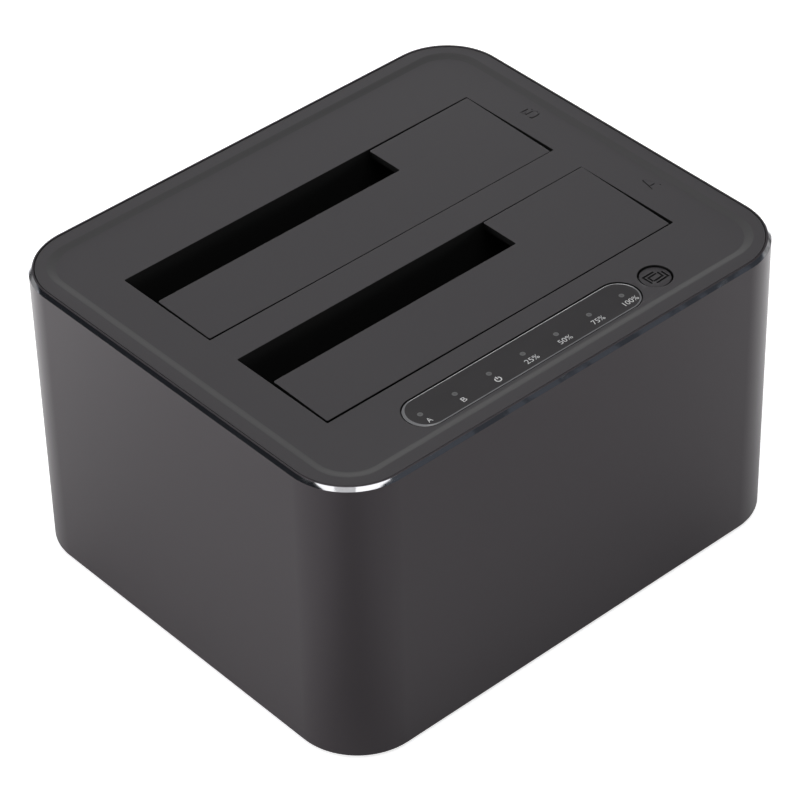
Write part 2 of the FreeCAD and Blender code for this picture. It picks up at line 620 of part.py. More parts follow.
def led_board():
    board = centred_block(0, LENS_Y, LED_BOARD_LENGTH, LED_BOARD_WIDTH, LED_BOARD_Z, LED_BOARD_TOP)
    holes = [rod(x, LENS_Y, LED_BOARD_Z - CUT_OVER, LED_BOARD_TOP + CUT_OVER,
                 SMALL_SCREW_RADIUS + SCREW_CLEAR)
             for x in (-LED_SCREW_X, LED_SCREW_X)]
    return remove(board, holes)


def plunger_top():
    return LED_BOARD_TOP + TACT_HEIGHT + PLUNGER_PROUD


def clone_button():
    top = DISH_TOP - BUTTON_SUNK
    flange_top = COVER_UNDER - BUTTON_FLANGE_DROP
    flange_low = flange_top - BUTTON_FLANGE_THICK
    cap = bevel_top(rod(BUTTON_X, BUTTON_Y, flange_top, top, BUTTON_RADIUS), BUTTON_BEVEL, top)
    flange = rod(BUTTON_X, BUTTON_Y, flange_low, flange_top, BUTTON_FLANGE)
    stem = rod(BUTTON_X, BUTTON_Y, plunger_top(), flange_low, PLUNGER_RADIUS)
    return join([cap, flange, stem])


def switch_plunger():
    return rod(BUTTON_X, BUTTON_Y, LED_BOARD_TOP + TACT_HEIGHT - PLUNGER_SEAT, plunger_top(), PLUNGER_RADIUS)


def tact_switch():
    body = centred_block(BUTTON_X, BUTTON_Y, TACT_SIDE, TACT_SIDE, LED_BOARD_TOP, LED_BOARD_TOP + TACT_HEIGHT)
    well_floor = LED_BOARD_TOP + TACT_HEIGHT - PLUNGER_SEAT - BUTTON_TRAVEL - PLUNGER_FLOOR
    well = rod(BUTTON_X, BUTTON_Y, well_floor, LED_BOARD_TOP + TACT_HEIGHT + CUT_OVER,
               PLUNGER_RADIUS + PLUNGER_PLAY)
    return remove(body, [well])


# ---------------------------------------------------------------- electronics
def main_board():
    board = block(-BOARD_SIDE, BOARD_SIDE, BOARD_FRONT, BOARD_REAR, BOARD_Z, BOARD_TOP)
    holes = [rod(x, y, BOARD_Z - CUT_OVER, BOARD_TOP + CUT_OVER, SMALL_SCREW_RADIUS + SCREW_CLEAR)
             for x in (-STANDOFF_X, STANDOFF_X) for y in (STANDOFF_FRONT, STANDOFF_REAR)]
    return remove(board, holes)


def sata_connector(name):
    """Upright receptacle with the long power tongue and the shorter signal tongue in its channel."""
    y = bay_edges(name)[1] - SATA_FROM_WALL
    top = BOARD_TOP + SATA_HEIGHT
    channel_z = top - SATA_CHANNEL
    body = centred_block(SATA_X, y, SATA_LENGTH, SATA_WIDTH, BOARD_TOP, top)
    channel = centred_block(SATA_X, y, SATA_LENGTH - 2 * SATA_WALL, SATA_WIDTH - 2 * SATA_WALL, channel_z,
                            top + CUT_OVER)
    power_x = SATA_X - SATA_LENGTH / 2 + SATA_WALL + SATA_TONGUE_INSET
    signal_x = power_x + SATA_POWER_LENGTH + SATA_KEY_GAP
    y0 = y - SATA_TONGUE_THICK / 2
    y1 = y + SATA_TONGUE_THICK / 2
    power = block(power_x, power_x + SATA_POWER_LENGTH, y0, y1, channel_z, top - SATA_TONGUE_DROP)
    signal = block(signal_x, signal_x + SATA_SIGNAL_LENGTH, y0, y1, channel_z, top - SATA_TONGUE_DROP)
    return join([body.cut(channel), power, signal])


def chip(x, y, side, height, bevel=CHIP_BEVEL):
    top = BOARD_TOP + height
    return bevel_top(centred_block(x, y, side, side, BOARD_TOP, top), bevel, top)


def bridge_chip():
    return chip(BRIDGE_X, 0.0, BRIDGE_SIDE, BRIDGE_HEIGHT)


def memory_chip():
    return chip(-BRIDGE_X, 0.0, MEMORY_SIDE, MEMORY_HEIGHT)


def regulators():
    y = BOARD_REAR - REGULATOR_FROM_REAR
    return [chip(DC_X + REGULATOR_PITCH, y, REGULATOR_SIDE, REGULATOR_HEIGHT),
            chip(DC_X + REGULATOR_PITCH, y - REGULATOR_PITCH, REGULATOR_SIDE, REGULATOR_HEIGHT)]


def inductors():
    y = BOARD_REAR - INDUCTOR_FROM_REAR
    return [chip(x, y, INDUCTOR_SIDE, INDUCTOR_HEIGHT, INDUCTOR_BEVEL)
            for x in (INDUCTOR_X, DC_X + 2 * REGULATOR_PITCH)]


def capacitors():
    front = BOARD_FRONT + CAPACITOR_FROM_FRONT
    inner_x = STANDOFF_X - CAPACITOR_FROM_SCREW
    places = [(-STANDOFF_X, BOARD_REAR - CAPACITOR_FROM_REAR), (-inner_x, front), (inner_x, front),
              (inner_x - CAPACITOR_PITCH, front)]
    return [rod(x, y, BOARD_TOP, BOARD_TOP + CAPACITOR_HEIGHT, CAPACITOR_RADIUS) for x, y in places]


def crystal():
    return rounded_prism(CRYSTAL_LENGTH, CRYSTAL_WIDTH, CRYSTAL_CORNER, BOARD_TOP, BOARD_TOP + CRYSTAL_HEIGHT,
                         CRYSTAL_X, 0.0)


def usb_port():
    back = PORT_FACE_Y - USB_DEPTH
    radius = USB_HEIGHT / 2 - ROUND_END_SLACK
    shell = rounded_prism(USB_WIDTH, USB_HEIGHT, radius, back, PORT_FACE_Y)
    hollow = rounded_prism(USB_WIDTH - 2 * USB_WALL, USB_HEIGHT - 2 * USB_WALL, radius - USB_WALL,
                           back + 2 * USB_WALL, PORT_FACE_Y + CUT_OVER)
    tongue = centred_block(0, 0, USB_WIDTH - 2 * USB_TONGUE_GAP, USB_TONGUE_THICK, back,
                           PORT_FACE_Y - USB_TONGUE_SUNK)
    port = join([shell.cut(hollow), tongue])
    port.rotate(V(0, 0, 0), V(1, 0, 0), -90)
    port.translate(V(USB_X, 0, BOARD_TOP + USB_HEIGHT / 2))
    return port


def dc_jack():
    face = WALL_IN_Y - PORT_FLANGE_THICK - DC_FLANGE_PLAY
    half = DC_BODY / 2
    body = block(DC_X - half, DC_X + half, PORT_FACE_Y - DC_DEPTH, face, BOARD_TOP, PORT_Z + half)
    nose = rod_y(DC_X, face, PORT_FACE_Y, PORT_Z, DC_NOSE)
    bore = rod_y(DC_X, PORT_FACE_Y - DC_BORE_DEPTH, PORT_FACE_Y + CUT_OVER, PORT_Z, DC_BORE)
    pin = rod_y(DC_X, PORT_FACE_Y - DC_BORE_DEPTH - DC_PIN_ROOT, PORT_FACE_Y - DC_PIN_SUNK, PORT_Z, DC_PIN)
    return join([join([body, nose]).cut(bore), pin])


def power_flange_y():
    return WALL_IN_Y - PORT_FLANGE_THICK - POWER_FLANGE_PLAY


def power_switch_face_y():
    return power_flange_y() - POWER_FLANGE_THICK - POWER_TRAVEL - POWER_OVERTRAVEL


def power_switch():
    face = power_switch_face_y()
    half = POWER_BODY / 2
    body = block(POWER_X - half, POWER_X + half, face - POWER_DEPTH, face, BOARD_TOP, PORT_Z + half)
    well_depth = POWER_PLUNGER_SEAT + POWER_TRAVEL + POWER_OVERTRAVEL
    well = rod_y(POWER_X, face - well_depth, face + CUT_OVER, PORT_Z, PLUNGER_RADIUS + PLUNGER_PLAY)
    return remove(body, [well])


def power_button():
    flange_y = power_flange_y()
    flange_back = flange_y - POWER_FLANGE_THICK
    cap = rod_y(POWER_X, flange_y, SLEEVE_DEPTH / 2, PORT_Z, POWER_CAP)
    flange = rod_y(POWER_X, flange_back, flange_y, PORT_Z, POWER_CAP + POWER_FLANGE_STEP)
    stem = rod_y(POWER_X, power_switch_face_y() - POWER_PLUNGER_SEAT, flange_back, PORT_Z, PLUNGER_RADIUS)
    return join([cap, flange, stem])


def upper_header():
    return centred_block(RIBBON_X, LENS_Y, HEADER_LENGTH, HEADER_WIDTH, LED_BOARD_Z - UPPER_HEADER_HEIGHT,
                         LED_BOARD_Z)


def lower_header():
    return centred_block(RIBBON_X, LENS_Y, HEADER_LENGTH, HEADER_WIDTH, BOARD_TOP,
                         BOARD_TOP + LOWER_HEADER_HEIGHT)


def ribbon_cable():
    return centred_block(RIBBON_X, LENS_Y, RIBBON_WIDTH, RIBBON_THICK, BOARD_TOP + LOWER_HEADER_HEIGHT,
                         LED_BOARD_Z - UPPER_HEADER_HEIGHT)


# ---------------------------------------------------------------- screws
def case_screws():
    seat = BASE_Z + SCREW_HEAD_HEIGHT
    reach = CHANNEL_TOP + COVER_BOSS_HEIGHT - CASE_SCREW_SPARE - seat
    return [screw(x, y, seat, reach, CASE_SCREW_RADIUS) for x, y in corners(CHANNEL_X, CHANNEL_Y)]


def frame_screws():
    seat = EAR_TOP - EAR_THICK
    return [screw(x, y, seat, EAR_THICK + FRAME_SCREW_BITE, SMALL_SCREW_RADIUS)
            for x, y in corners(EAR_X, EAR_Y)]


def board_screws():
    shapes = []
    for x in (-STANDOFF_X, STANDOFF_X):
        for y in (STANDOFF_FRONT, STANDOFF_REAR):
            up = screw(x, y, 0.0, BOARD_THICK + BOARD_SCREW_BITE, SMALL_SCREW_RADIUS)
            up.rotate(V(x, y, 0), V(1, 0, 0), 180)
            up.translate(V(0, 0, BOARD_TOP))
            shapes.append(up)
    return shapes


def led_board_screws():
    return [screw(x, LENS_Y, LED_BOARD_Z, LED_BOARD_THICK + LED_SCREW_BITE, SMALL_SCREW_RADIUS)
            for x in (-LED_SCREW_X, LED_SCREW_X)]


# ---------------------------------------------------------------- export
def as_shape(result):
    if isinstance(result, (list, tuple)):
        return Part.makeCompound(list(result))
    return result


def write(node, result):
    shape = as_shape(result)
    if not shape.isValid():
        raise ValueError(node + " is not valid")
    shape.exportStep("parts/" + node + ".step")


def main():
    os.makedirs("parts", exist_ok=True)
    for make in (aluminium_sleeve, top_cover, base_plate, feet, rear_port_plate, bay_frame, led_lens,
                 light_guide, leds, led_board, clone_button, switch_plunger, tact_switch, main_board,
                 bridge_chip, memory_chip, regulators, inductors, capacitors, crystal, usb_port, dc_jack,
                 power_switch, power_button, upper_header, lower_header, ribbon_cable, case_screws,
                 frame_screws, board_screws, led_board_screws):
        write(make.__name__, make())
    for name in BAY_CENTRES:
        write("flap_" + name, flap(name))
        write("hinge_pin_" + name, hinge_pin(name))
        write("flap_spring_" + name, flap_spring(name))
        write("sata_connector_" + name, sata_connector(name))


main()
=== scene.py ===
"""Looks of a dual-bay drive dock and duplicator, laid out as a Blender add-on and run as a script."""
import math

import bmesh
import bpy
from mathutils import Matrix, Vector


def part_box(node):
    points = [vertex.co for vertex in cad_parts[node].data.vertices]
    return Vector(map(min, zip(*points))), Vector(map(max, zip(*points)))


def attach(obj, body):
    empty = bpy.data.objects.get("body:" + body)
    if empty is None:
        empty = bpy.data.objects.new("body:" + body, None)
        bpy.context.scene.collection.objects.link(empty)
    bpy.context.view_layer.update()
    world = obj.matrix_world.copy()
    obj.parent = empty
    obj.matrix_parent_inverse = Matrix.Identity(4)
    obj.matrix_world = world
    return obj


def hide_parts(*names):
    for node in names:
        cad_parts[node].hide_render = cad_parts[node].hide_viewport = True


bl_info = {
    "name": "Drive duplicator looks",
    "version": (1, 0, 0),
    "blender": (4, 5, 0),
    "location": "View3D > Sidebar > Drive duplicator",
    "description": "Builds the visible shells, print, finishes and studio of a dual-bay drive dock",
    "category": "Object",
}

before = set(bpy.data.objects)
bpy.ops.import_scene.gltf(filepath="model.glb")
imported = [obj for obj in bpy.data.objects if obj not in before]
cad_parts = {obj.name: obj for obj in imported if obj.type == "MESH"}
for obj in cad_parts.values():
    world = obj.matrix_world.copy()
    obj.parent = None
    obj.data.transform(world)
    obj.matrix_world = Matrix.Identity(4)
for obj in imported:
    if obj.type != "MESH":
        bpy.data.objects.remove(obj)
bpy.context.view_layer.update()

MM = 0.001
SLEEVE_LOW, SLEEVE_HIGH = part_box("aluminium_sleeve")
COVER_LOW, COVER_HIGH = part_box("top_cover")
LENS_LOW, LENS_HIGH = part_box("led_lens")
BUTTON_LOW, BUTTON_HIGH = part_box("clone_button")
LEDS_LOW, LEDS_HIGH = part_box("leds")
PLATE_LOW, PLATE_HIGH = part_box("rear_port_plate")
SLEEVE_SIZE = [SLEEVE_HIGH[axis] - SLEEVE_LOW[axis] for axis in range(3)]
DISH_DEPTH = 0.4 * MM
DISH_Z = COVER_HIGH[2] - DISH_DEPTH
BAYS = ("front", "rear")
UPWARDS = (0.0, 0.0, 1.0)
DOWNWARDS = (0.0, 0.0, -1.0)
STRAIGHT = math.radians(89.5)    # half the angle of a bend that counts as straight
SHARPEST = 0.5                   # keeps the points of an outline's sharp bends from running away
WELD = 2e-7
TOUCH = 1e-7

SLEEVE_FOOT = 0.25 * MM
SLEEVE_SOFT = 0.03 * MM
WINDOW_INSET = 1.8 * MM          # how far the port plate reaches past its window
WALL_RUN = 0.03                  # shorter than the straight run of the rear wall

RIM_OVER = 0.12 * MM             # the cover's rim, wider than its solid
SKIRT_HEIGHT = 3.2 * MM
SKIRT_WALL = 1.4 * MM
COLLAR_HEIGHT = 1.6 * MM
BAY_CORNER = 0.3 * MM
BAND_STEPS = 10
BAND_SOFTEN = 0.2
BUTTON_LIP = 0.06 * MM
LENS_LIP = 0.05 * MM
STROKE_LIP = 0.03 * MM

FLAP_THICK = 1.8 * MM
FLAP_CORNER = 0.35 * MM
KNUCKLE_LENGTH = 9.0 * MM
KNUCKLE_RADIUS = 1.1 * MM
RIB_INSET = 6.0 * MM
RIB_END = 4.0 * MM
RIB_WIDTH = 1.2 * MM
RIB_HEIGHT = 0.8 * MM
STOP_INSET = 8.0 * MM
STOP_LENGTH = 8.0 * MM
STOP_WIDTH = 4.0 * MM
STOP_HEIGHT = 0.9 * MM
STOP_NECK = 0.3 * MM
JOIN = 0.1 * MM                  # how far parts of one moulding run into each other

CAP_RADIUS = 3.62 * MM
CAP_EDGE = 0.12 * MM
CAP_PLAY = 0.2 * MM
FLANGE_RADIUS = 4.6 * MM
FLANGE_THICK = 1.0 * MM
STEM_RADIUS = 1.7 * MM
SIGN_LIP = 0.02 * MM
SIGN_PEN = 1.5                   # width of the copy sign's strokes, in widths of a groove

LENS_ASIDE = 0.15 * MM           # where the lens lies in its seat
LENS_UP = 0.13 * MM
CRESCENT_RIGHT = 0.25            # the wider bevel at the lens's right end, as a share of the left one
PRINT_LIFT = 0.012 * MM
PRINT_SLIM = 0.012 * MM
CAPITAL_SHARE = 0.72             # height of a capital, as a share of the typeface's size
LABEL_ASIDE = 0.17 * MM
LABEL_DROP = 2.67 * MM
LABEL_WIDTHS = {"A": 1.15, "B": 1.12, "": 0.0, "25%": 3.65, "50%": 3.6, "75%": 3.4, "100%": 4.15}
# The widths are in mm, one for each light; the power sign stands at the empty one.
POWER_RADIUS = 0.71 * MM
POWER_PEN = 0.26 * MM
POWER_DROP = 0.05 * MM
POWER_BAR = (0.15 * MM, 0.85 * MM)
POWER_START, POWER_SWEEP = 130, 280      # degrees
POWER_STEPS = 24
LED_COUNT = 7
LED_INSET = 1.7 * MM
LED_UP = 0.19 * MM
HEART_SHARE = 0.4

PANELS = (("Side_panel", (-1.25, 0.65, 0.22), 1.0, 0.4, "side_power"),
          ("Back_panel", (0.70, 1.32, 0.30), 1.6, 0.5, "back_power"))
SOFTBOX_PLACE = (-0.28, -0.24)
LIT_POINT = Vector((0.0, 0.0, 0.05))
VIEW_LINE = (0.66, 0.75, 0.0)
SIDE_LINE = (0.75, -0.66, 0.0)
FLOOR_REACH = 6.0
FLOOR_LEVEL = -0.02 * MM
SHINE_RISE = (-0.02, 0.09)       # where the far floor's gloss grows and fades, along the view line
SHINE_FADE = (0.45, 0.90)
STRIP_END = (-0.10, -0.07)       # the dim strip before the near corner: its end, middle and half widths
STRIP_MIDDLE = 0.015
STRIP_SIDE = (0.010, 0.046)
CARD_PLACE = Vector((-0.565, -0.475, 0.93))
WALL_FOOT = (0.05, 0.14)
WALL_FADE = math.radians(5.0)


# ---- settings
class DuplicatorSizes(bpy.types.PropertyGroup):
    """Sizes that only the looks use, in metres."""

    def length(label, words, value):
        return bpy.props.FloatProperty(name=label, description=words, default=value, min=0.0,
                                       unit="LENGTH", precision=5)

    corner: length("Sleeve corner", "Outer radius of the sleeve's upright corners", 16.1 * MM)
    wall: length("Sleeve wall", "Thickness of the sleeve", 1.2 * MM)
    chamfer: length("Cut rim", "Width of the bright cut round the sleeve's top", 0.8 * MM)
    band_inset: length("Band inset", "From the sleeve's face to the slope into the dish", 4.6 * MM)
    band_width: length("Band width", "Width of the sloping band", 2.0 * MM)
    band_corner: length("Band corner", "Corner radius at the band's upper edge", 9.9 * MM)
    dish_corner: length("Dish corner", "Corner radius at the band's lower edge", 8.4 * MM)
    bay_length: length("Bay length", "Length of each drive opening", 103.0 * MM)
    bay_width: length("Bay width", "Width of each drive opening", 29.57 * MM)
    bay_pitch: length("Bay pitch", "Distance between the two bays", 38.65 * MM)
    slot_length: length("Slot length", "Length of the open slot beside each flap", 72.0 * MM)
    slot_width: length("Slot width", "Width of the open slot beside each flap", 11.1 * MM)
    flap_gap: length("Flap gap", "Designed gap round each flap", 0.33 * MM)
    flap_taper: length("Flap taper", "Extra gap at the near right corner of each flap", 0.85 * MM)
    edge_round: length("Edge rounding", "Radius of the moulded edges", 0.08 * MM)
    collar_wall: length("Collar wall", "Wall of the collar round each bay", 3.0 * MM)
    plate: length("Cover plate", "Thickness of the cover's plate", 2.0 * MM)
    groove: length("Groove width", "Width of the sunken strokes of the marks", 0.32 * MM)
    groove_depth: length("Groove depth", "Depth of the sunken strokes of the marks", 0.25 * MM)
    groove_faint: length("Faint groove", "Depth of the worn strokes of the marks", 0.03 * MM)
    print_size: length("Print size", "Height of the printed characters", 1.50 * MM)
    lens_bevel: length("Lens bevel", "Width of the lens's bevel", 0.28 * MM)
    lens_bevel_height: length("Lens bevel height", "Height of the lens's bevel", 0.08 * MM)
    lens_crescent: length("Lens end bevel", "Extra width of the bevel at the lens's left end", 0.45 * MM)
    lens_gap: length("Lens gap", "Gap round the lens", 0.33 * MM)
    button_hole: length("Button hole", "Radius of the hole for the copy button", 4.05 * MM)
    light_spot: length("Light spot", "Width of each light's spot under the lens", 1.3 * MM)


class DuplicatorColours(bpy.types.PropertyGroup):
    """Linear colours of the finishes."""

    def colour(label, words, value):
        return bpy.props.FloatVectorProperty(name=label, description=words, default=value, min=0.0, max=1.0,
                                             size=3, subtype="COLOR")

    sleeve: colour("Sleeve", "Dark anodised aluminium", (0.0525, 0.0455, 0.0505))
    cut: colour("Cut rim", "Bare metal of the cut rim", (0.56, 0.56, 0.58))
    cover: colour("Cover", "Moulded cover", (0.0302, 0.0270, 0.0296))
    # Paler than the cover: painted light that lifts the shade on the band's slope.
    band: colour("Band", "The cover's slope, a little paler than the rest", (0.0415, 0.0402, 0.0408))
    # Near-black of the real inner mouldings, also used as painted shade on the cover's opening walls and in
    # the copy sign's grooves.
    inner: colour("Inner mouldings", "Black mouldings inside the bays", (0.0055, 0.0055, 0.0055))
    lens: colour("Lens", "Smoked lens of the light strip", (0.0361, 0.0339, 0.0346))
    printing: colour("Print", "White print", (0.56, 0.56, 0.56))
    spot: colour("Light spot", "Unlit lights seen through the lens", (0.094, 0.094, 0.094))


class DuplicatorStudio(bpy.types.PropertyGroup):
    """Camera and light."""

    def number(label, words, value, **more):
        return bpy.props.FloatProperty(name=label, description=words, default=value, **more)

    def triple(label, words, value, unit):
        return bpy.props.FloatVectorProperty(name=label, description=words, default=value, unit=unit)

    lens: number("Lens", "Focal length in millimetres", 165.687, subtype="DISTANCE_CAMERA")
    camera_place: triple("Camera place", "Where the camera stands", (-0.43190, -0.49301, 0.56915), "LENGTH")
    camera_turn: triple("Camera turn", "How the camera is turned",
                        [math.radians(a) for a in (50.78304, 1.11212, -42.03754)], "ROTATION")
    softbox_power: number("Softbox", "Power of the overhead softbox", 11.6, unit="POWER")
    softbox_size: number("Softbox size", "Side of the overhead softbox", 1.43, unit="LENGTH")
    softbox_height: number("Softbox height", "Height of the softbox", 0.95, unit="LENGTH")
    side_power: number("Side panel", "Power of the panel at the left", 10.5, unit="POWER")
    back_power: number("Back panel", "Power of the panel at the back right", 4.2, unit="POWER")
    floor_glow: number("Floor glow", "White that only the camera sees", 0.72)
    floor_shine: number("Floor shine", "White of the far floor in gloss", 1.9)
    floor_shade: number("Floor shade", "Share of the floor's white in gloss before the near corner", 0.48,
                        subtype="FACTOR")
    horizon: number("Horizon", "Light of the pale walls round the table", 2.4)
    ceiling: number("Ceiling", "Light of the dark room at the left", 0.02)
    ceiling_right: number("Ceiling right", "Light of the room at the right", 0.09)
    camera_side: number("Camera side", "Share of the walls' light behind the camera", 0.06)
    side_gap: number("Side gaps", "Share of the walls' light beside the far wall", 0.15)
    wall_top: number("Wall top", "How high the pale walls reach", math.radians(16.0), subtype="ANGLE")


def sizes():
    return bpy.context.scene.duplicator_sizes


def colours():
    return bpy.context.scene.duplicator_colours


def studio():
    return bpy.context.scene.duplicator_studio


# ---- outlines
def pairs(items):
    """Each item with the one that follows it round a closed loop."""
    return list(zip(items, items[1:] + items[:1]))


def corners(points):
    """Each point of a closed outline, with the directions that lead into it and out of it."""
    for before, (here, after) in zip(points[-1:] + points[:-1], pairs(points)):
        here = Vector(here)
        yield here, (here - Vector(before)).normalized(), (Vector(after) - here).normalized()


def rounded_loop(length, width, radius, x=0.0, y=0.0, steps=16):
    """Points of a rounded rectangle, anticlockwise."""
    radius = min(radius, length / 2 - 1e-6, width / 2 - 1e-6)
    points = []
    for sign_x, sign_y, start in ((1, 1, 0), (-1, 1, 90), (-1, -1, 180), (1, -1, 270)):
        cx = x + sign_x * (length / 2 - radius)
        cy = y + sign_y * (width / 2 - radius)
        for step in range(steps + 1):
            angle = math.radians(start + 90 * step / steps)
            points.append((cx + radius * math.cos(angle), cy + radius * math.sin(angle)))
    return points


def round_corners(points, radius, steps=4):
    """A closed polygon with arcs for its corners; bends that are nearly straight stay as they are."""
    result = []
    for here, into, out in corners(points):
        half = math.acos(max(-1.0, min(1.0, -into.dot(out)))) / 2
        if half > STRAIGHT:
            result.append(tuple(here))
            continue
        reach = radius / math.tan(half)
        centre = here + (out - into).normalized() * radius / math.sin(half)
        first = here - into * reach - centre
        last = here + out * reach - centre
        turn = first.angle_signed(last)
        for step in range(steps + 1):
            spoke = Matrix.Rotation(-turn * step / steps, 2) @ first
            result.append(tuple(centre + spoke))
    return result


def grow_loop(points, distance):
    """Moves a closed anticlockwise outline outwards by a distance, or inwards if it is negative."""
    result = []
    for here, into, out in corners(points):
        middle = Vector((into.y, -into.x)) + Vector((out.y, -out.x))
        scale = 2.0 / max(middle.length_squared, SHARPEST)
        result.append(tuple(here + middle * distance * scale))
    return result


def stroke_loop(points, width, steps=5):
    """Outline of an open pen stroke with round ends, anticlockwise."""
    half = width / 2
    path = [Vector(p) for p in points]

    def side(sign, ordered):
        row = []
        for index, here in enumerate(ordered):
            into = (here - ordered[index - 1]).normalized() if index else None
            out = (ordered[index + 1] - here).normalized() if index + 1 < len(ordered) else None
            into = into or out
            out = out or into
            middle = Vector((into.y, -into.x)) + Vector((out.y, -out.x))
            row.append(here + middle * sign * half * 2.0 / middle.length_squared)
        return row

    def cap(centre, start):
        spoke = start - centre
        return [centre + Matrix.Rotation(math.pi * step / steps, 2) @ spoke for step in range(1, steps)]

    right = side(1, path)
    left = side(-1, path)
    loop = right + cap(path[-1], right[-1]) + list(reversed(left)) + cap(path[0], left[0])
    area = sum(a.x * b.y - b.x * a.y for a, b in pairs(loop))
    loop = [tuple(p) for p in loop]
    return loop if area > 0 else list(reversed(loop))


# ---- mesh building
class Shell:
    """A mesh made of level rings of points, bridged to each other and filled."""

    def __init__(self):
        self.bm = bmesh.new()

    def ring(self, points, z):
        return [self.bm.verts.new((x, y, z)) for x, y in points]

    def bridge(self, low, high, material=0, skip=None):
        """Faces from one ring to the next, all but the one at an index that is skipped."""
        for index, ((a, b), (c, d)) in enumerate(zip(pairs(low), pairs(high))):
            if index != skip:
                self.bm.faces.new((a, b, d, c)).material_index = material

    def stack(self, rings, material=0):
        for low, high in zip(rings, rings[1:]):
            self.bridge(low, high, material)

    def fill(self, rings, normal=UPWARDS, material=0):
        edges = []
        for ring in rings:
            for pair in pairs(ring):
                edges.append(self.bm.edges.get(pair) or self.bm.edges.new(pair))
        made = bmesh.ops.triangle_fill(self.bm, use_beauty=True, edges=edges, normal=normal)["geom"]
        for item in made:
            if isinstance(item, bmesh.types.BMFace):
                item.material_index = material

    def solid(self, x0, x1, y0, y1, z0, z1):
        corners = bmesh.ops.create_cube(self.bm, size=1.0)["verts"]
        for vert in corners:
            vert.co = Vector((x0 + (vert.co.x + 0.5) * (x1 - x0), y0 + (vert.co.y + 0.5) * (y1 - y0),
                              z0 + (vert.co.z + 0.5) * (z1 - z0)))

    def barrel_x(self, x0, x1, y, z, radius, steps=32):
        turn = Matrix.Translation(((x0 + x1) / 2, y, z)) @ Matrix.Rotation(math.pi / 2, 4, "Y")
        bmesh.ops.create_cone(self.bm, cap_ends=True, segments=steps, radius1=radius, radius2=radius,
                              depth=x1 - x0, matrix=turn)

    def finish(self, name, finishes, sharp=35.0, weighted=True):
        """Turns the faces into an object; the finishes are each slot's name and maker."""
        materials = [finish_named(*item) for item in finishes.items()]
        bmesh.ops.remove_doubles(self.bm, verts=self.bm.verts, dist=WELD)
        bmesh.ops.recalc_face_normals(self.bm, faces=self.bm.faces)
        mesh = bpy.data.meshes.new(name)
        self.bm.to_mesh(mesh)
        self.bm.free()
        return dress(name, mesh, materials, sharp, weighted)


def dress(name, mesh, materials, sharp=35.0, weighted=True):
    """Makes an object of a mesh: smooth faces, sharp edges by angle, and face-weighted normals."""
    for polygon in mesh.polygons:
        polygon.use_smooth = True
    mesh.set_sharp_from_angle(angle=math.radians(sharp))
    for material in materials:
        mesh.materials.append(material)
    piece = bpy.data.objects.new(name, mesh)
    bpy.context.scene.collection.objects.link(piece)
    if weighted:
        normals = piece.modifiers.new("Weighted normals", "WEIGHTED_NORMAL")
        normals.keep_sharp = True
        normals.weight = 80
    return piece


def edge_profile(radius, steps=3):
    """Inset and drop pairs for a rounded edge, from the flat top to the upright side."""
    profile = []
    for step in range(steps + 1):
        angle = math.radians(90 * step / steps)
        profile.append((radius * (1 - math.sin(angle)), radius * (1 - math.cos(angle))))
    return profile


# ---- materials
class Nodes:
    """Short words for building a node tree."""

    def __init__(self, tree):
        self.tree = tree

    def add(self, kind, **values):
        node = self.tree.nodes.new(kind)
        for key, value in values.items():
            if hasattr(node, key):
                setattr(node, key, value)
            else:
                node.inputs[key.replace("_", " ")].default_value = value
        return node

    def link(self, output, target):
        self.tree.links.new(output, target)

    def feed(self, target, value):
        """Gives an input a number, a vector or another node's output."""
        if isinstance(value, bpy.types.NodeSocket):
            self.link(value, target)
        else:
            target.default_value = value

    def span(self, value, low, high, start=0.0, end=1.0, shape="LINEAR"):
        node = self.add("ShaderNodeMapRange", interpolation_type=shape, From_Min=start, From_Max=end)
        self.feed(node.inputs["To Min"], low)
        self.feed(node.inputs["To Max"], high)
        self.link(value, node.inputs["Value"])
        return node.outputs["Result"]

    def math(self, operation, first, second):
        node = self.add("ShaderNodeMath", operation=operation)
        self.feed(node.inputs[0], first)
        self.feed(node.inputs[1], second)
        return node.outputs[0]

    def along(self, place, direction):
        """How far a place lies along a direction."""
        node = self.add("ShaderNodeVectorMath", operation="DOT_PRODUCT")
        self.link(place, node.inputs[0])
        node.inputs[1].default_value = direction
        return node.outputs["Value"]


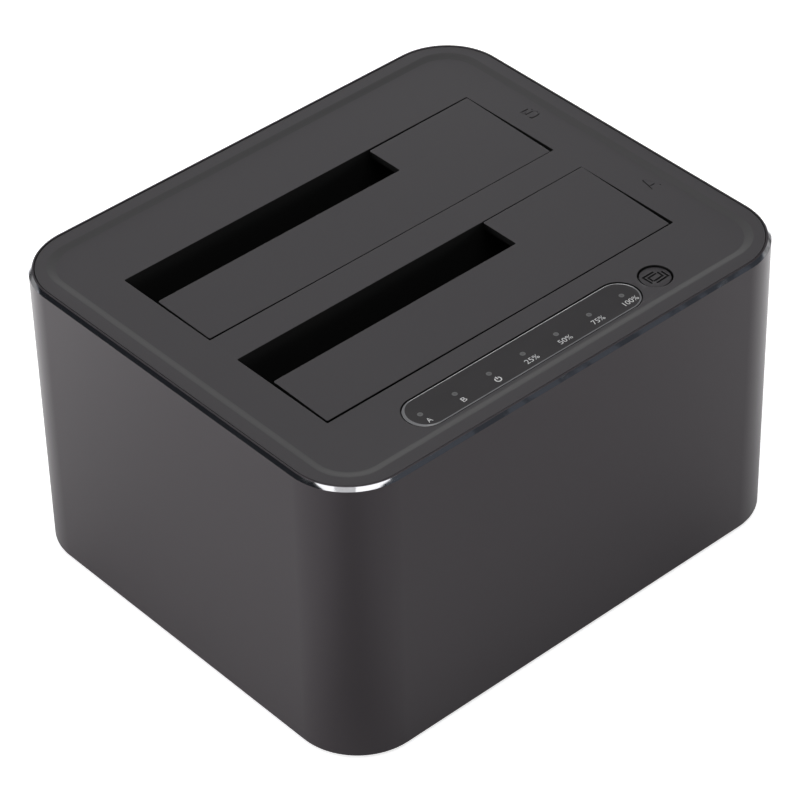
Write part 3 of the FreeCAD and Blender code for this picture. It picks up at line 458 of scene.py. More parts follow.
class Finish(Nodes):
    """A node material with one Principled shader."""

    def __init__(self, name, colour, roughness, metallic=0.0):
        self.material = bpy.data.materials.new(name)
        self.material.use_nodes = True
        super().__init__(self.material.node_tree)
        self.shader = self.tree.nodes["Principled BSDF"]
        self.shader.inputs["Base Color"].default_value = (*colour, 1.0)
        self.shader.inputs["Roughness"].default_value = roughness
        self.shader.inputs["Metallic"].default_value = metallic
        self.colour = colour
        self.place = self.add("ShaderNodeTexCoord").outputs["Object"]
        self.height = None

    def noise(self, scale, detail=2.0, stretch=(1.0, 1.0, 1.0)):
        mapping = self.add("ShaderNodeMapping")
        mapping.inputs["Scale"].default_value = stretch
        self.link(self.place, mapping.inputs["Vector"])
        node = self.add("ShaderNodeTexNoise", Scale=scale, Detail=detail)
        self.link(mapping.outputs["Vector"], node.inputs["Vector"])
        return node.outputs["Fac"]

    def blend(self, value, low, high):
        """Runs the base colour from one share of itself to another."""
        mix = self.add("ShaderNodeMix", data_type="RGBA")
        mix.inputs["A"].default_value = (*[min(1.0, c * low) for c in self.colour], 1.0)
        mix.inputs["B"].default_value = (*[min(1.0, c * high) for c in self.colour], 1.0)
        self.link(value, mix.inputs["Factor"])
        self.link(mix.outputs["Result"], self.shader.inputs["Base Color"])

    def mottle(self, value, amount):
        """Varies the base colour between darker and lighter by a share."""
        self.blend(value, 1 - amount, 1 + amount)

    def vary_roughness(self, value, low, high):
        self.link(self.span(value, low, high), self.shader.inputs["Roughness"])

    def bump(self, value, distance, strength=1.0):
        node = self.add("ShaderNodeBump", Distance=distance, Strength=strength)
        self.link(value, node.inputs["Height"])
        if self.height:
            self.link(self.height, node.inputs["Normal"])
        self.height = node.outputs["Normal"]
        self.link(self.height, self.shader.inputs["Normal"])


MATERIALS = {}


def finish_named(name, make):
    if name not in MATERIALS:
        MATERIALS[name] = make(name)
    return MATERIALS[name]


def anodised(name):
    """Bead-blasted dark anodising: an even fine grain with faint cloudy variation."""
    look = Finish(name, colours().sleeve, 0.42, 0.55)
    grain = look.noise(3800.0, 3.0)
    cloud = look.noise(28.0, 2.0)
    look.mottle(look.math("ADD", look.math("MULTIPLY", grain, 0.6), look.math("MULTIPLY", cloud, 0.4)), 0.10)
    look.vary_roughness(cloud, 0.40, 0.46)
    look.bump(grain, 0.00001, 0.5)
    return look.material


def cut_metal(name):
    """Bright cut rim: slightly wavy and streaked by the cutter, and worn in patches but at the left."""
    look = Finish(name, colours().cut, 0.07, 1.0)
    streak = look.noise(900.0, 3.0, (1.0, 1.0, 0.02))
    wave = look.noise(70.0, 3.0)
    worn = look.span(look.along(look.place, (1.0, 0.0, 0.0)), 0.0, 1.0, -0.046, -0.030)
    stain = look.math("MULTIPLY", look.span(look.noise(170.0, 5.0), 0.0, 1.0, 0.48, 0.56), worn)
    scuff = look.math("MULTIPLY", look.span(look.noise(120.0, 6.0), 0.0, 1.0, 0.60, 0.67), worn)
    look.blend(stain, 1.0, 0.62)
    look.vary_roughness(scuff, 0.08, 0.38)
    look.bump(wave, 0.00035)
    look.bump(streak, 0.000003, 0.5)
    return look.material


def plain(name, colour, roughness, scale, detail, amount, metallic=0.0, stretch=(1.0, 1.0, 1.0)):
    """One colour with a mottle of its own scale and amount."""
    look = Finish(name, colour, roughness, metallic)
    look.mottle(look.noise(scale, detail, stretch), amount)
    return look.material


def grainy(name, colour, roughness, scale, detail, amount, depth, strength):
    """One colour with a mottle that is felt in the surface too."""
    look = Finish(name, colour, roughness)
    grain = look.noise(scale, detail)
    look.mottle(grain, amount)
    look.bump(grain, depth, strength)
    return look.material


def rim_land(name):
    """Brushed dark land inside the cut rim."""
    return plain(name, colours().sleeve, 0.36, 700.0, 3.0, 0.15, 0.5)


def satin_plastic(name, colour, low=0.44, high=0.52, grain_depth=0.000012, sheen=0.38):
    """Moulded plastic with a fine spark-eroded texture."""
    look = Finish(name, colour, low)
    look.shader.inputs["Specular IOR Level"].default_value = sheen
    grain = look.noise(5200.0, 2.0)
    cloud = look.noise(22.0, 3.0)
    look.mottle(look.math("ADD", look.math("MULTIPLY", grain, 0.5), look.math("MULTIPLY", cloud, 0.5)), 0.09)
    look.vary_roughness(cloud, low, high)
    look.bump(grain, grain_depth, 0.6)
    return look.material


def cover_plastic(name):
    return satin_plastic(name, colours().cover)


def band_plastic(name):
    """The cover's own plastic on the slope of the band, rougher and duller, in a paler colour: painted light
    that lifts the shade falling on the slope.
    """
    return satin_plastic(name, colours().band, 0.56, 0.64, sheen=0.31)


def flap_plastic(name):
    return satin_plastic(name, colours().cover, 0.43, 0.50)


def flap_edge(name):
    """Edge of a flap in near-black: painted shade for the shadow that falls on it in the slot."""
    return satin_plastic(name, (0.0022, 0.0022, 0.0022), 0.60, 0.70, sheen=0.08)


# Black mouldings inside the bays; the same near-black on the walls of the cover's openings and in the copy
# sign's grooves is painted shade.
def inner_plastic(name):
    return satin_plastic(name, colours().inner, 0.60, 0.70, sheen=0.2)


def lens_plastic(name):
    """Smoked lens: smooth, with faint wipe marks in the gloss."""
    look = Finish(name, colours().lens, 0.22)
    smear = look.noise(90.0, 4.0, (1.0, 3.0, 1.0))
    look.mottle(smear, 0.06)
    look.vary_roughness(smear, 0.20, 0.26)
    return look.material


def lens_edge(name):
    """Polished bevel of the lens in a pale colour: a painted highlight along the lens's outline."""
    return plain(name, (0.165, 0.165, 0.169), 0.16, 160.0, 3.0, 0.25)


def white_print(name):
    return plain(name, colours().printing, 0.55, 6000.0, 2.0, 0.10)


def light_spot(name):
    return plain(name, colours().spot, 0.35, 2500.0, 2.0, 0.25)


def spot_heart(name):
    return plain(name, [c * 0.70 for c in colours().spot], 0.35, 2500.0, 2.0, 0.25)


def rubber(name):
    return grainy(name, (0.012, 0.012, 0.012), 0.8, 2600.0, 3.0, 0.3, 0.00003, 0.6)


def steel(name):
    """Plain drawn steel."""
    look = Finish(name, (0.40, 0.39, 0.38), 0.28, 1.0)
    streak = look.noise(1500.0, 3.0, (0.05, 1.0, 1.0))
    look.mottle(streak, 0.12)
    look.vary_roughness(streak, 0.22, 0.36)
    return look.material


def circuit_board(name):
    """Green solder mask over faint copper tracks, with plated vias."""
    look = Finish(name, (0.010, 0.075, 0.028), 0.32)
    bricks = look.add("ShaderNodeTexBrick", Scale=260.0, Mortar_Size=0.10, Brick_Width=1.7, Row_Height=0.35)
    look.link(look.place, bricks.inputs["Vector"])
    look.mottle(bricks.outputs["Fac"], 0.35)
    vias = look.add("ShaderNodeTexVoronoi", Scale=420.0)
    look.link(look.place, vias.inputs["Vector"])
    look.vary_roughness(look.noise(300.0, 2.0), 0.28, 0.40)
    look.bump(look.span(vias.outputs["Distance"], 0.0, 1.0, 0.05, 0.12), 0.00003, 0.4)
    return look.material


def chip_black(name):
    return grainy(name, (0.018, 0.018, 0.020), 0.5, 4200.0, 2.0, 0.2, 0.00001, 0.5)


def ferrite(name):
    return grainy(name, (0.06, 0.06, 0.062), 0.6, 1800.0, 4.0, 0.3, 0.00003, 0.5)


def bright_can(name):
    return plain(name, (0.72, 0.72, 0.74), 0.22, 500.0, 2.0, 0.10, 1.0, (1.0, 1.0, 0.1))


def clear_moulding(name):
    look = Finish(name, (0.80, 0.82, 0.82), 0.18)
    look.shader.inputs["Transmission Weight"].default_value = 0.6
    look.mottle(look.noise(120.0, 2.0), 0.04)
    return look.material


def led_resin(name):
    return plain(name, (0.80, 0.80, 0.70), 0.3, 900.0, 2.0, 0.08)


def ribbon_grey(name):
    """Flat cable with its parallel cores."""
    look = Finish(name, (0.38, 0.38, 0.38), 0.5)
    cores = look.add("ShaderNodeTexWave", Scale=125.0)
    look.link(look.place, cores.inputs["Vector"])
    look.mottle(cores.outputs["Fac"], 0.18)
    look.bump(cores.outputs["Fac"], 0.0001, 0.8)
    return look.material


NODE_FINISHES = (
    (inner_plastic, ("base_plate", "rear_port_plate", "bay_frame", "power_button")),
    (rubber, ("feet",)),
    (steel, ("hinge_pin_front", "hinge_pin_rear", "flap_spring_front", "flap_spring_rear", "usb_port",
             "case_screws", "frame_screws", "board_screws", "led_board_screws")),
    (clear_moulding, ("light_guide",)),
    (led_resin, ("leds",)),
    (circuit_board, ("led_board", "main_board")),
    (chip_black, ("switch_plunger", "tact_switch", "sata_connector_front", "sata_connector_rear",
                  "bridge_chip", "memory_chip", "regulators", "dc_jack", "power_switch", "upper_header",
                  "lower_header")),
    (ferrite, ("inductors",)),
    (bright_can, ("capacitors", "crystal")),
    (ribbon_grey, ("ribbon_cable",)),
)


def paint(piece, material):
    """Gives a carried-over part its finish, in every material slot."""
    piece.data.materials.clear()
    piece.data.materials.append(material)


# ---- shapes
def case_loop(inset, corner):
    return rounded_loop(SLEEVE_SIZE[0] - 2 * inset, SLEEVE_SIZE[1] - 2 * inset, corner, steps=32)


def sleeve_loop(inset):
    """The sleeve's outline, or one further in; its corners keep their centres."""
    return case_loop(inset, sizes().corner - inset)


def bay_rect(name):
    """Left, right, near and far edges of a bay's opening."""
    size = sizes()
    centre = size.bay_pitch / 2 * (1 if name == "rear" else -1)
    half = size.bay_length / 2
    return -half, half, centre - size.bay_width / 2, centre + size.bay_width / 2


def bay_loop(name, grow):
    left, right, near, far = bay_rect(name)
    return rounded_loop(right - left + 2 * grow, far - near + 2 * grow,
                        BAY_CORNER + max(grow, -BAY_CORNER / 2), y=(near + far) / 2, steps=4)


def lens_loop(grow, left=0.0, right=0.0):
    """Outline of the lens, grown all round and further at its left and right ends."""
    length = LENS_HIGH[0] - LENS_LOW[0] + 2 * grow + left + right
    width = LENS_HIGH[1] - LENS_LOW[1] + 2 * grow
    x = (LENS_LOW[0] + LENS_HIGH[0] + right - left) / 2 + LENS_ASIDE
    return rounded_loop(length, width, width / 2, x, (LENS_LOW[1] + LENS_HIGH[1]) / 2 + LENS_UP, 24)


def button_centre():
    return (BUTTON_LOW[0] + BUTTON_HIGH[0]) / 2, (BUTTON_LOW[1] + BUTTON_HIGH[1]) / 2


def circle_loop(radius, x, y, steps=16):
    return rounded_loop(2 * radius, 2 * radius, radius, x, y, steps)


def build_sleeve():
    size = sizes()
    low, high = SLEEVE_LOW[2], SLEEVE_HIGH[2]
    foot, lip, soft = SLEEVE_FOOT, size.chamfer, SLEEVE_SOFT
    shell = Shell()
    outer = [shell.ring(sleeve_loop(inset), z) for inset, z in
             ((foot, low), (0.0, low + foot), (0.0, high - lip - soft), (soft, high - lip + soft),
              (lip - soft, high - soft), (lip + soft, high))]
    inner = [shell.ring(sleeve_loop(inset), z) for inset, z in
             ((size.wall - soft, high), (size.wall, high - soft), (size.wall, low))]
    left, right = PLATE_LOW[0] + WINDOW_INSET, PLATE_HIGH[0] - WINDOW_INSET
    sill, head = PLATE_LOW[2] + WINDOW_INSET, PLATE_HIGH[2] - WINDOW_INSET
    shell.bridge(outer[0], outer[1])
    window_walls = []
    for low_ring, high_ring, y in ((outer[1], outer[2], SLEEVE_HIGH[1]),
                                   (inner[2], inner[1], SLEEVE_HIGH[1] - size.wall)):
        rear = next(index for index, (here, there) in enumerate(pairs(low_ring))
                    if abs(here.co.y - y) < TOUCH and abs(there.co.y - y) < TOUCH
                    and abs(here.co.x - there.co.x) > WALL_RUN)
        shell.bridge(low_ring, high_ring, skip=rear)
        frame_ring = [*pairs(low_ring)[rear], *reversed(pairs(high_ring)[rear])]
        hole = [shell.bm.verts.new((x, y, z))
                for x, z in ((left, sill), (right, sill), (right, head), (left, head))]
        shell.fill([frame_ring, hole], normal=(0.0, 1.0, 0.0))
        window_walls.append(hole)
    shell.bridge(window_walls[0], window_walls[1])
    shell.stack(outer[2:4])
    shell.bridge(outer[3], outer[4], 1)
    shell.stack([outer[4], outer[5], inner[0], inner[1]], 2)
    shell.bridge(inner[2], outer[0])
    piece = shell.finish("Sleeve", {"Anodised aluminium": anodised, "Cut metal": cut_metal,
                                    "Rim land": rim_land}, sharp=30.0)
    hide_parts("aluminium_sleeve")
    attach(piece, "case")


def mark_strokes():
    """Sunken index letters beside the bays: the outline and depth of each pen stroke."""
    size = sizes()
    right = size.bay_length / 2
    half = size.bay_pitch / 2
    deep_a = [[(6.3, 1.2), (5.5, -2.5)], [(6.1, -1.44), (7.25, -1.44)], [(8.02, -2.5), (8.08, -2.62)]]
    faint_a = [[(6.85, 1.1), (7.9, -2.1)]]
    deep_b = [[(4.85, 1.3), (6.9, 1.25)], [(7.53, 0.5), (7.58, 0.32)],
              [(5.2, 0.2), (5.32, -0.17), (7.1, -0.15)],
              [(4.98, -1.5), (5.15, -2.1), (6.7, -2.2), (7.5, -2.02)], [(7.72, -1.1), (7.76, -1.28)]]
    faint_b = [[(4.75, 0.85), (4.75, -1.0)]]
    strokes = []
    for centre, depth, letter in ((-half, size.groove_depth, deep_a), (-half, size.groove_faint, faint_a),
                                  (half, size.groove_depth, deep_b), (half, size.groove_faint, faint_b)):
        for stroke in letter:
            line = stroke_loop([(right + x * MM, centre + y * MM) for x, y in stroke], size.groove)
            strokes.append((line, depth))
    return strokes


def build_cover():
    size = sizes()
    outer_inset = (SLEEVE_SIZE[0] - (COVER_HIGH[0] - COVER_LOW[0])) / 2 - RIM_OVER
    rim_top = COVER_HIGH[2]
    under = DISH_Z - size.plate
    skirt_low = under - SKIRT_HEIGHT
    skirt_in = outer_inset + SKIRT_WALL
    collar_low = under - COLLAR_HEIGHT
    edge = size.edge_round
    shell = Shell()
    rim = [shell.ring(sleeve_loop(outer_inset + inset), rim_top - drop) for inset, drop in edge_profile(edge)]
    shell.stack(rim)
    band = []
    for step in range(BAND_STEPS + 1):
        share = step / BAND_STEPS
        eased = share - BAND_SOFTEN * math.sin(2 * math.pi * share) / (2 * math.pi)
        inset = size.band_inset + size.band_width * share
        corner = size.band_corner + (size.dish_corner - size.band_corner) * share
        band.append(shell.ring(case_loop(inset, corner), rim_top + (DISH_Z - rim_top) * eased))
    shell.fill([rim[0], band[0]])
    # The band takes the paler band plastic: painted light that lifts the slope's shade.
    shell.stack(band, 1)
    low_wall = [rim[-1]] + [shell.ring(sleeve_loop(inset), z) for inset, z in
                            ((outer_inset, skirt_low), (skirt_in, skirt_low), (skirt_in, under))]
    shell.stack(low_wall)
    top_holes = []
    under_holes = []

    def opening(loop_at, deep, radius=edge, through=True, wall=2):
        """A hole with a rounded lip; loop_at gives the outline for a growth."""
        lip = [shell.ring(loop_at(inset), DISH_Z - drop) for inset, drop in edge_profile(radius)]
        floor = shell.ring(loop_at(0.0), deep)
        shell.stack(lip)
        # Except for the letters' strokes, the walls take slot 2, the near-black inner plastic: painted shade
        # down the openings.
        shell.bridge(lip[-1], floor, wall)
        top_holes.append(lip[0])
        if through:
            return floor
        shell.fill([floor])
        return None

    for name in BAYS:
        floor = opening(lambda grow, bay=name: bay_loop(bay, grow), collar_low)
        collar_out = [shell.ring(bay_loop(name, size.collar_wall), z) for z in (collar_low, under)]
        shell.fill([floor, collar_out[0]])
        shell.bridge(collar_out[0], collar_out[1])
        under_holes.append(collar_out[1])
    button_x, button_y = button_centre()
    under_holes.append(opening(lambda grow: circle_loop(size.button_hole + grow, button_x, button_y, 20),
                               under, BUTTON_LIP))
    opening(lambda grow: lens_loop(size.lens_gap + grow), LENS_LOW[2] - LENS_LIP, LENS_LIP, False)
    for stroke, depth in mark_strokes():
        opening(lambda grow, line=stroke: grow_loop(line, grow), DISH_Z - depth, STROKE_LIP, False, 0)
    shell.fill([band[-1]] + top_holes)
    shell.fill([low_wall[-1]] + under_holes)
    piece = shell.finish("Top_cover", {"Cover plastic": cover_plastic, "Band plastic": band_plastic,
                                       "Inner plastic": inner_plastic}, sharp=40.0)
    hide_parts("top_cover")
    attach(piece, "case")


# Each moulded flap sits a little skewed: its gaps in mm, and how far along its near edge that edge bends.
FLAP_GAPS = {
    "front": {"left_slot": 0.85, "left_near": 0.50, "near_left": 0.66, "near_bend": 0.36, "near_right": 0.34,
              "right": 0.02, "far_right": 0.18, "far_slot": 0.28, "bend": 0.55, "taper": 1.15},
    "rear": {"left_slot": 0.60, "left_near": 0.42, "near_left": 0.55, "near_bend": 0.25, "near_right": 0.15,
             "right": 0.16, "far_right": 0.36, "far_slot": 0.62, "bend": 0.33, "taper": 1.0},
}


def flap_loop(name):
    """L-shaped outline of a flap, anticlockwise from its near left corner."""
    size = sizes()
    left, right, near, far = bay_rect(name)
    gap = {place: value * MM for place, value in FLAP_GAPS[name].items()}
    near_end = right - gap["right"] - size.flap_taper * FLAP_GAPS[name]["taper"]
    bend = left + (right - left) * FLAP_GAPS[name]["bend"]
    slot_end = left + size.slot_length
    slot_near = far - size.slot_width
    return [(left + gap["left_near"], near + gap["near_left"]), (bend, near + gap["near_bend"]),
            (near_end, near + gap["near_right"]), (right - gap["right"], far - gap["far_right"]),
            (slot_end, far - gap["far_slot"]), (slot_end, slot_near), (left + gap["left_slot"], slot_near)]


def build_flap(name):
    size = sizes()
    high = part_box("flap_" + name)[1]
    edge = size.edge_round
    under = high[2] - FLAP_THICK
    plate_under = DISH_Z - size.plate
    outline = round_corners(flap_loop(name), FLAP_CORNER)
    shell = Shell()
    top = [shell.ring(grow_loop(outline, -inset), high[2] - drop) for inset, drop in edge_profile(edge)]
    bottom = [shell.ring(outline, under + edge), shell.ring(grow_loop(outline, -edge), under)]
    shell.stack(top)
    # The sides take the near-black flap edge finish: painted shade of the slot.
    shell.stack([top[-1]] + bottom, 1)
    shell.fill([top[0]])
    shell.fill([bottom[-1]], normal=DOWNWARDS)
    _, bay_right, near, far = bay_rect(name)
    pin_low, pin_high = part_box("hinge_pin_" + name)
    pin_y = (pin_low[1] + pin_high[1]) / 2
    pin_z = (pin_low[2] + pin_high[2]) / 2
    end = bay_right - size.flap_gap - size.flap_taper
    for start in (-end, end - KNUCKLE_LENGTH):
        shell.barrel_x(start, start + KNUCKLE_LENGTH, pin_y, pin_z, KNUCKLE_RADIUS)
    rib_y = near + RIB_INSET
    shell.solid(-end + RIB_END, end - RIB_END, rib_y, rib_y + RIB_WIDTH, under - RIB_HEIGHT, under + JOIN)
    stop_x = bay_right - STOP_INSET
    shell.solid(stop_x - STOP_LENGTH, stop_x, far - STOP_WIDTH, high[1], plate_under - STOP_HEIGHT,
                plate_under - JOIN)
    shell.solid(stop_x - STOP_LENGTH, stop_x, far - STOP_WIDTH, far - size.flap_gap, plate_under - STOP_NECK,
                under + JOIN)
    piece = shell.finish("Flap_" + name, {"Flap plastic": flap_plastic, "Flap edge": flap_edge}, sharp=40.0)
    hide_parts("flap_" + name)
    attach(piece, "flap_" + name)


def build_lens():
    size = sizes()
    shell = Shell()
    bottom = shell.ring(lens_loop(0.0), LENS_LOW[2])
    side = shell.ring(lens_loop(0.0), LENS_HIGH[2] - size.lens_bevel_height)
    top = shell.ring(lens_loop(-size.lens_bevel, -size.lens_crescent, -size.lens_crescent * CRESCENT_RIGHT),
                     LENS_HIGH[2])
    shell.fill([bottom], normal=DOWNWARDS)
    shell.bridge(bottom, side)
    # The bevel takes the pale lens bevel finish: a painted highlight.
    shell.bridge(side, top, 1)
    shell.fill([top])
    piece = shell.finish("Light_strip_lens", {"Smoked lens": lens_plastic, "Lens bevel": lens_edge},
                         sharp=8.0)
    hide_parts("led_lens")
    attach(piece, "case")


def copy_icon():
    """Two nested pairs of corner brackets, the common sign for a copy."""
    size = sizes()
    x, y = button_centre()
    brackets = [[(0.8, 1.6), (-2.2, 1.6), (-2.15, -1.05)], [(0.85, 0.78), (-1.4, 0.75), (-1.4, -0.65)],
                [(2.45, 0.4), (2.45, -1.6), (-1.05, -1.75)], [(1.6, 0.8), (1.55, -0.72), (-1.15, -0.95)]]
    return [stroke_loop([(x + a * MM, y + b * MM) for a, b in bracket], size.groove * SIGN_PEN)
            for bracket in brackets]


def build_clone_button():
    x, y = button_centre()
    top_z = BUTTON_HIGH[2]
    flange_top = DISH_Z - sizes().plate - CAP_PLAY
    shell = Shell()
    top = [shell.ring(circle_loop(CAP_RADIUS - inset, x, y, 24), top_z - drop)
           for inset, drop in edge_profile(CAP_EDGE, 4)]
    flange_low = flange_top - FLANGE_THICK
    steps = [(CAP_RADIUS, flange_top), (FLANGE_RADIUS, flange_top), (FLANGE_RADIUS, flange_low),
             (STEM_RADIUS, flange_low), (STEM_RADIUS, BUTTON_LOW[2])]
    rings = [shell.ring(circle_loop(r, x, y, 24), z) for r, z in steps]
    shell.stack(top + rings)
    holes = []
    floors = []
    for stroke in copy_icon():
        lip = [shell.ring(grow_loop(stroke, inset), top_z - drop) for inset, drop in edge_profile(SIGN_LIP)]
        floor = shell.ring(stroke, top_z - sizes().groove_depth)
        shell.stack(lip)
        # The sign's groove walls and floors take the near-black inner plastic: painted shade in the grooves.
        shell.bridge(lip[-1], floor, 1)
        holes.append(lip[0])
        floors.append(floor)
    shell.fill([top[0]] + holes)
    shell.fill([rings[-1]], normal=DOWNWARDS)
    for floor in floors:
        shell.fill([floor], material=1)
    piece = shell.finish("Clone_button", {"Button plastic": flap_plastic, "Inner plastic": inner_plastic},
                         sharp=40.0)
    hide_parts("clone_button")
    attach(piece, "clone_button")


def thin_piece(name, loops, z, words, make):
    """Print as a very thin solid on a flat face: each loop is one separate island."""
    shell = Shell()
    for loop in loops:
        low = shell.ring(loop, z)
        high = shell.ring(loop, z + PRINT_LIFT)
        shell.bridge(low, high)
        shell.fill([high])
        shell.fill([low], normal=DOWNWARDS)
    piece = shell.finish(name, {words: make}, weighted=False)
    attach(piece, "case")


def print_words(name, words, x, y, width):
    """Generic characters from the built-in typeface, as a thin mesh of a given width."""
    curve = bpy.data.curves.new(name, "FONT")
    curve.body = words
    curve.align_x = "CENTER"
    curve.align_y = "CENTER"
    curve.size = sizes().print_size / CAPITAL_SHARE
    curve.offset = -PRINT_SLIM
    curve.extrude = PRINT_LIFT / 2
    curve.resolution_u = 6
    source = bpy.data.objects.new(name + "_type", curve)
    bpy.context.scene.collection.objects.link(source)
    mesh = bpy.data.meshes.new_from_object(source)
    bpy.data.objects.remove(source)
    span = [min(v.co.x for v in mesh.vertices), max(v.co.x for v in mesh.vertices)]
    rise = [min(v.co.y for v in mesh.vertices), max(v.co.y for v in mesh.vertices)]
    squeeze = width / (span[1] - span[0])
    for vert in mesh.vertices:
        vert.co.x = x + (vert.co.x - sum(span) / 2) * squeeze
        vert.co.y = y + vert.co.y - sum(rise) / 2
        vert.co.z += LENS_HIGH[2] + PRINT_LIFT / 2
    mesh.materials.clear()
    piece = dress(name, mesh, [finish_named("White print", white_print)], weighted=False)
    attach(piece, "case")


def led_centres():
    """Middle of each light, spread evenly over the row."""
    first = LEDS_LOW[0] + LED_INSET
    last = LEDS_HIGH[0] - LED_INSET
    y = (LEDS_LOW[1] + LEDS_HIGH[1]) / 2 + LED_UP
    return [(first + (last - first) * index / (LED_COUNT - 1), y) for index in range(LED_COUNT)]


def power_sign(x, y):
    """The common on and off sign: an open ring with a bar through the gap."""
    ring = []
    for step in range(POWER_STEPS + 1):
        angle = math.radians(POWER_START + POWER_SWEEP * step / POWER_STEPS)
        ring.append((x + POWER_RADIUS * math.cos(angle), y - POWER_DROP + POWER_RADIUS * math.sin(angle)))
    return [stroke_loop(line, POWER_PEN) for line in (ring, [(x, y + rise) for rise in POWER_BAR])]


def build_print():
    centres = led_centres()
    label_y = centres[0][1] - LABEL_DROP
    for centre, (words, width) in zip(centres, LABEL_WIDTHS.items()):
        x = centre[0] + LABEL_ASIDE
        if words:
            print_words("Label_" + words.replace("%", ""), words, x, label_y, width * MM)
        else:
            thin_piece("Power_sign", power_sign(x, label_y), LENS_HIGH[2], "White print", white_print)
    radius = sizes().light_spot / 2
    spots = [circle_loop(radius, x, y, 8) for x, y in centres]
    thin_piece("Light_spots", spots, LENS_HIGH[2] - PRINT_LIFT / 2, "Light spot", light_spot)
    hearts = [circle_loop(radius * HEART_SHARE, x, y, 6) for x, y in centres]
    thin_piece("Light_spot_hearts", hearts, LENS_HIGH[2], "Spot heart", spot_heart)


def build_finishes():
    for make, nodes in NODE_FINISHES:
        words = make.__name__.replace("_", " ").capitalize()
        for node in nodes:
            paint(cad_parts[node], finish_named(words, make))


def area_light(name, place, power):
    lamp = bpy.data.objects.new(name, bpy.data.lights.new(name, "AREA"))
    lamp.data.energy = power
    lamp.location = place
    bpy.context.scene.collection.objects.link(lamp)
    return lamp


def build_stage():
    look = studio()
    scene = bpy.context.scene
    scene.view_settings.view_transform = "Standard"
    camera = bpy.data.objects.new("Camera", bpy.data.cameras.new("Camera"))
    camera.data.lens = look.lens
    camera.data.sensor_width = 36.0
    camera.data.clip_start = 0.05
    camera.location = look.camera_place
    camera.rotation_euler = look.camera_turn
    scene.collection.objects.link(camera)
    scene.camera = camera

    softbox = area_light("Softbox", (*SOFTBOX_PLACE, look.softbox_height), look.softbox_power)
    softbox.data.shape = "SQUARE"
    softbox.data.size = look.softbox_size
    for name, place, wide, high, power in PANELS:
        panel = area_light(name, place, getattr(look, power))
        panel.data.shape = "RECTANGLE"
        panel.data.size = wide
        panel.data.size_y = high
        panel.rotation_euler = (LIT_POINT - panel.location).to_track_quat("-Z", "Y").to_euler()
    build_floor(look)
    build_card()
    build_walls(look)


def sheet_object(name, corners, material):
    mesh = bpy.data.meshes.new(name)
    mesh.from_pydata(corners, [], [(0, 1, 2, 3)])
    mesh.materials.append(material)
    sheet = bpy.data.objects.new(name, mesh)
    bpy.context.scene.collection.objects.link(sheet)


def build_floor(look):
    """White floor, brighter in gloss behind the object, with a dim strip in gloss before its near corner."""
    nodes = Finish("White floor", (0.80, 0.80, 0.80), 0.9)
    nodes.shader.inputs["Specular IOR Level"].default_value = 0.0
    nodes.shader.inputs["Emission Color"].default_value = (1.0, 1.0, 1.0, 1.0)
    path = nodes.add("ShaderNodeLightPath")
    behind = nodes.along(nodes.place, VIEW_LINE)
    near = nodes.span(behind, 0.0, look.floor_shine, *SHINE_RISE)
    far = nodes.span(behind, 1.0, 0.15, *SHINE_FADE)
    shine = nodes.math("MULTIPLY", nodes.math("MULTIPLY", near, far), path.outputs["Is Glossy Ray"])
    aside = nodes.math("ABSOLUTE", nodes.math("ADD", nodes.along(nodes.place, SIDE_LINE), STRIP_MIDDLE), 0.0)
    strip = nodes.math("MULTIPLY", nodes.span(behind, 1.0, 0.0, *STRIP_END),
                       nodes.span(aside, 1.0, 0.0, *STRIP_SIDE))
    nodes.blend(nodes.math("MULTIPLY", strip, path.outputs["Is Glossy Ray"]), 1.0, look.floor_shade)
    glow = nodes.math("MULTIPLY", path.outputs["Is Camera Ray"], look.floor_glow)
    nodes.link(nodes.math("ADD", shine, glow), nodes.shader.inputs["Emission Strength"])
    sheet_object("Floor", [(x * FLOOR_REACH, y * FLOOR_REACH, FLOOR_LEVEL)
                           for x, y in ((-1, -1), (1, -1), (1, 1), (-1, 1))], nodes.material)


def build_card():
    """Grey card under the softbox that parts the highlight on the near corner."""
    nodes = Finish("Grey card", (0.3, 0.3, 0.3), 0.9)
    nodes.shader.inputs["Emission Color"].default_value = (1.0, 1.0, 1.0, 1.0)
    nodes.shader.inputs["Emission Strength"].default_value = 0.65
    out = Vector((-0.7, -0.714, 0.0)) * 0.25
    side = Vector((0.714, -0.7, 0.0)) * 0.22
    sheet_object("Card", [CARD_PLACE - out - side, CARD_PLACE + out - side, CARD_PLACE + out + side,
                          CARD_PLACE - out + side], nodes.material)


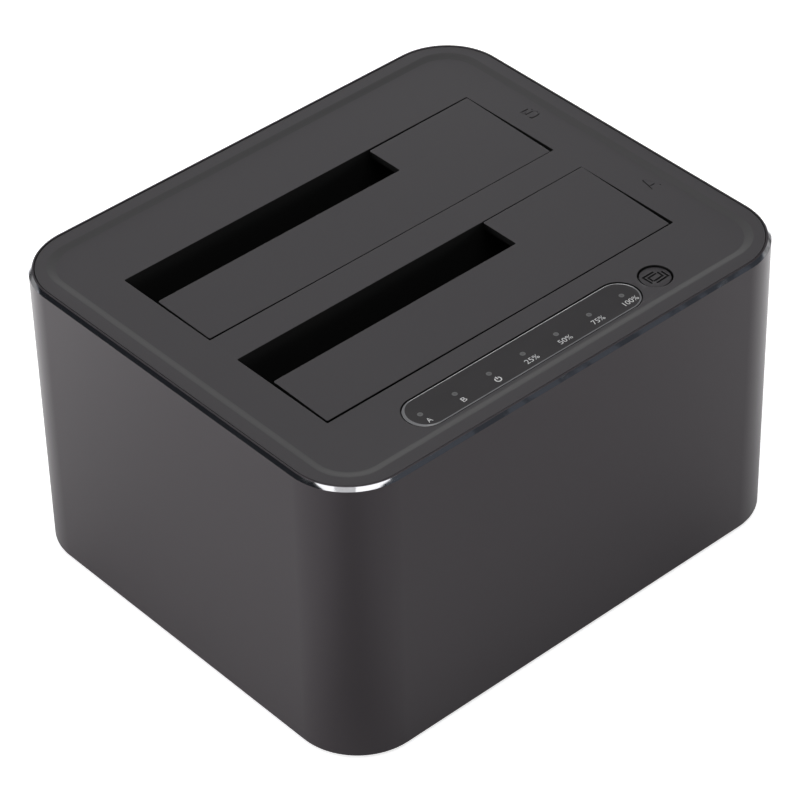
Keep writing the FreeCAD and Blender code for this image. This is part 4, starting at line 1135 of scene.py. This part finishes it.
def build_walls(look):
    """Pale walls round the table, darker on the camera's side, under a dim bluish ceiling."""
    world = bpy.data.worlds.new("Studio")
    bpy.context.scene.world = world
    world.use_nodes = True
    nodes = Nodes(world.node_tree)
    ground = nodes.tree.nodes["Background"]
    place = nodes.add("ShaderNodeTexCoord").outputs["Generated"]
    path = nodes.add("ShaderNodeLightPath")
    rise = nodes.along(place, UPWARDS)
    foot = nodes.span(rise, 0.2, 1.0, *WALL_FOOT, "SMOOTHSTEP")
    head = nodes.span(rise, 1.0, 0.0, math.sin(look.wall_top), math.sin(look.wall_top + WALL_FADE),
                      "SMOOTHSTEP")
    turn = nodes.along(place, VIEW_LINE)
    banks = nodes.add("ShaderNodeValToRGB")
    stops = banks.color_ramp.elements
    stops[0].position = 0.05
    stops[1].position = 0.97
    for position in (0.25, 0.58, 0.66, 0.91):
        stops.new(position)
    for stop, light in zip(stops, (look.camera_side, 1.0, 1.0, look.side_gap, look.side_gap, 1.0)):
        stop.color = (light, light, light, 1.0)
    nodes.link(nodes.span(turn, 0.0, 1.0, -1.0, 1.0), banks.inputs["Fac"])
    walls = nodes.math("MULTIPLY", nodes.math("MULTIPLY", foot, head), banks.outputs["Color"])
    walls = nodes.math("MULTIPLY", walls, look.horizon)
    ceiling = nodes.span(nodes.along(place, (1.0, 0.0, 0.0)), look.ceiling, look.ceiling_right, -0.2, 0.4)
    light = nodes.math("ADD", walls, ceiling)
    nodes.link(nodes.span(path.outputs["Is Camera Ray"], light, 1.0), ground.inputs["Strength"])
    tint = nodes.add("ShaderNodeMix", data_type="RGBA")
    tint.inputs["A"].default_value = (0.87, 0.96, 1.12, 1.0)
    tint.inputs["B"].default_value = (1.0, 1.0, 1.0, 1.0)
    nodes.link(nodes.math("MAXIMUM", head, path.outputs["Is Camera Ray"]), tint.inputs["Factor"])
    nodes.link(tint.outputs["Result"], ground.inputs["Color"])


# ---- operators
class DUPLICATOR_OT_stage(bpy.types.Operator):
    """Set up the camera, the soft lights and the pale floor"""
    bl_idname = "duplicator.stage"
    bl_label = "Studio"

    def execute(self, context):
        build_stage()
        return {"FINISHED"}


class DUPLICATOR_OT_finishes(bpy.types.Operator):
    """Give each carried-over part its finish"""
    bl_idname = "duplicator.finishes"
    bl_label = "Finishes of the inner parts"

    def execute(self, context):
        build_finishes()
        return {"FINISHED"}


class DUPLICATOR_OT_sleeve(bpy.types.Operator):
    """Build the anodised sleeve with its cut rim"""
    bl_idname = "duplicator.sleeve"
    bl_label = "Sleeve"

    def execute(self, context):
        build_sleeve()
        return {"FINISHED"}


class DUPLICATOR_OT_cover(bpy.types.Operator):
    """Build the moulded cover with its band, openings and sunken letters"""
    bl_idname = "duplicator.cover"
    bl_label = "Top cover"

    def execute(self, context):
        build_cover()
        return {"FINISHED"}


class DUPLICATOR_OT_flaps(bpy.types.Operator):
    """Build both dust flaps"""
    bl_idname = "duplicator.flaps"
    bl_label = "Flaps"

    def execute(self, context):
        for name in BAYS:
            build_flap(name)
        return {"FINISHED"}


class DUPLICATOR_OT_lens(bpy.types.Operator):
    """Build the smoked lens over the lights"""
    bl_idname = "duplicator.lens"
    bl_label = "Light strip lens"

    def execute(self, context):
        build_lens()
        return {"FINISHED"}


class DUPLICATOR_OT_print(bpy.types.Operator):
    """Lay the printed characters and the lights' spots on the lens"""
    bl_idname = "duplicator.print"
    bl_label = "Print on the lens"

    def execute(self, context):
        build_print()
        return {"FINISHED"}


class DUPLICATOR_OT_clone_button(bpy.types.Operator):
    """Build the round copy button with its sunken sign"""
    bl_idname = "duplicator.clone_button"
    bl_label = "Copy button"

    def execute(self, context):
        build_clone_button()
        return {"FINISHED"}


class DUPLICATOR_PT_panel(bpy.types.Panel):
    """Sizes, colours, light and the builders"""
    bl_idname = "DUPLICATOR_PT_panel"
    bl_label = "Drive duplicator"
    bl_space_type = "VIEW_3D"
    bl_region_type = "UI"
    bl_category = "Drive duplicator"

    def draw(self, context):
        scene = context.scene
        for label, group in (("Sizes", scene.duplicator_sizes), ("Colours", scene.duplicator_colours),
                             ("Studio", scene.duplicator_studio)):
            box = self.layout.box()
            box.label(text=label)
            for name in group.bl_rna.properties.keys():
                if name not in ("rna_type", "name"):
                    box.prop(group, name)
        column = self.layout.column()
        for step in STEPS:
            column.operator(step.bl_idname)


STEPS = (DUPLICATOR_OT_stage, DUPLICATOR_OT_finishes, DUPLICATOR_OT_sleeve, DUPLICATOR_OT_cover,
         DUPLICATOR_OT_flaps, DUPLICATOR_OT_lens, DUPLICATOR_OT_print, DUPLICATOR_OT_clone_button)
GROUPS = {"duplicator_sizes": DuplicatorSizes, "duplicator_colours": DuplicatorColours,
          "duplicator_studio": DuplicatorStudio}


def register():
    for item in (*GROUPS.values(), *STEPS, DUPLICATOR_PT_panel):
        bpy.utils.register_class(item)
    for name, group in GROUPS.items():
        setattr(bpy.types.Scene, name, bpy.props.PointerProperty(type=group))


def unregister():
    for name in GROUPS:
        delattr(bpy.types.Scene, name)
    for item in reversed((*GROUPS.values(), *STEPS, DUPLICATOR_PT_panel)):
        bpy.utils.unregister_class(item)


def main():
    register()
    bpy.ops.duplicator.stage()
    bpy.ops.duplicator.finishes()
    bpy.ops.duplicator.sleeve()
    bpy.ops.duplicator.cover()
    bpy.ops.duplicator.flaps()
    bpy.ops.duplicator.lens()
    bpy.ops.duplicator.print()
    bpy.ops.duplicator.clone_button()


if __name__ == "__main__":
    main()
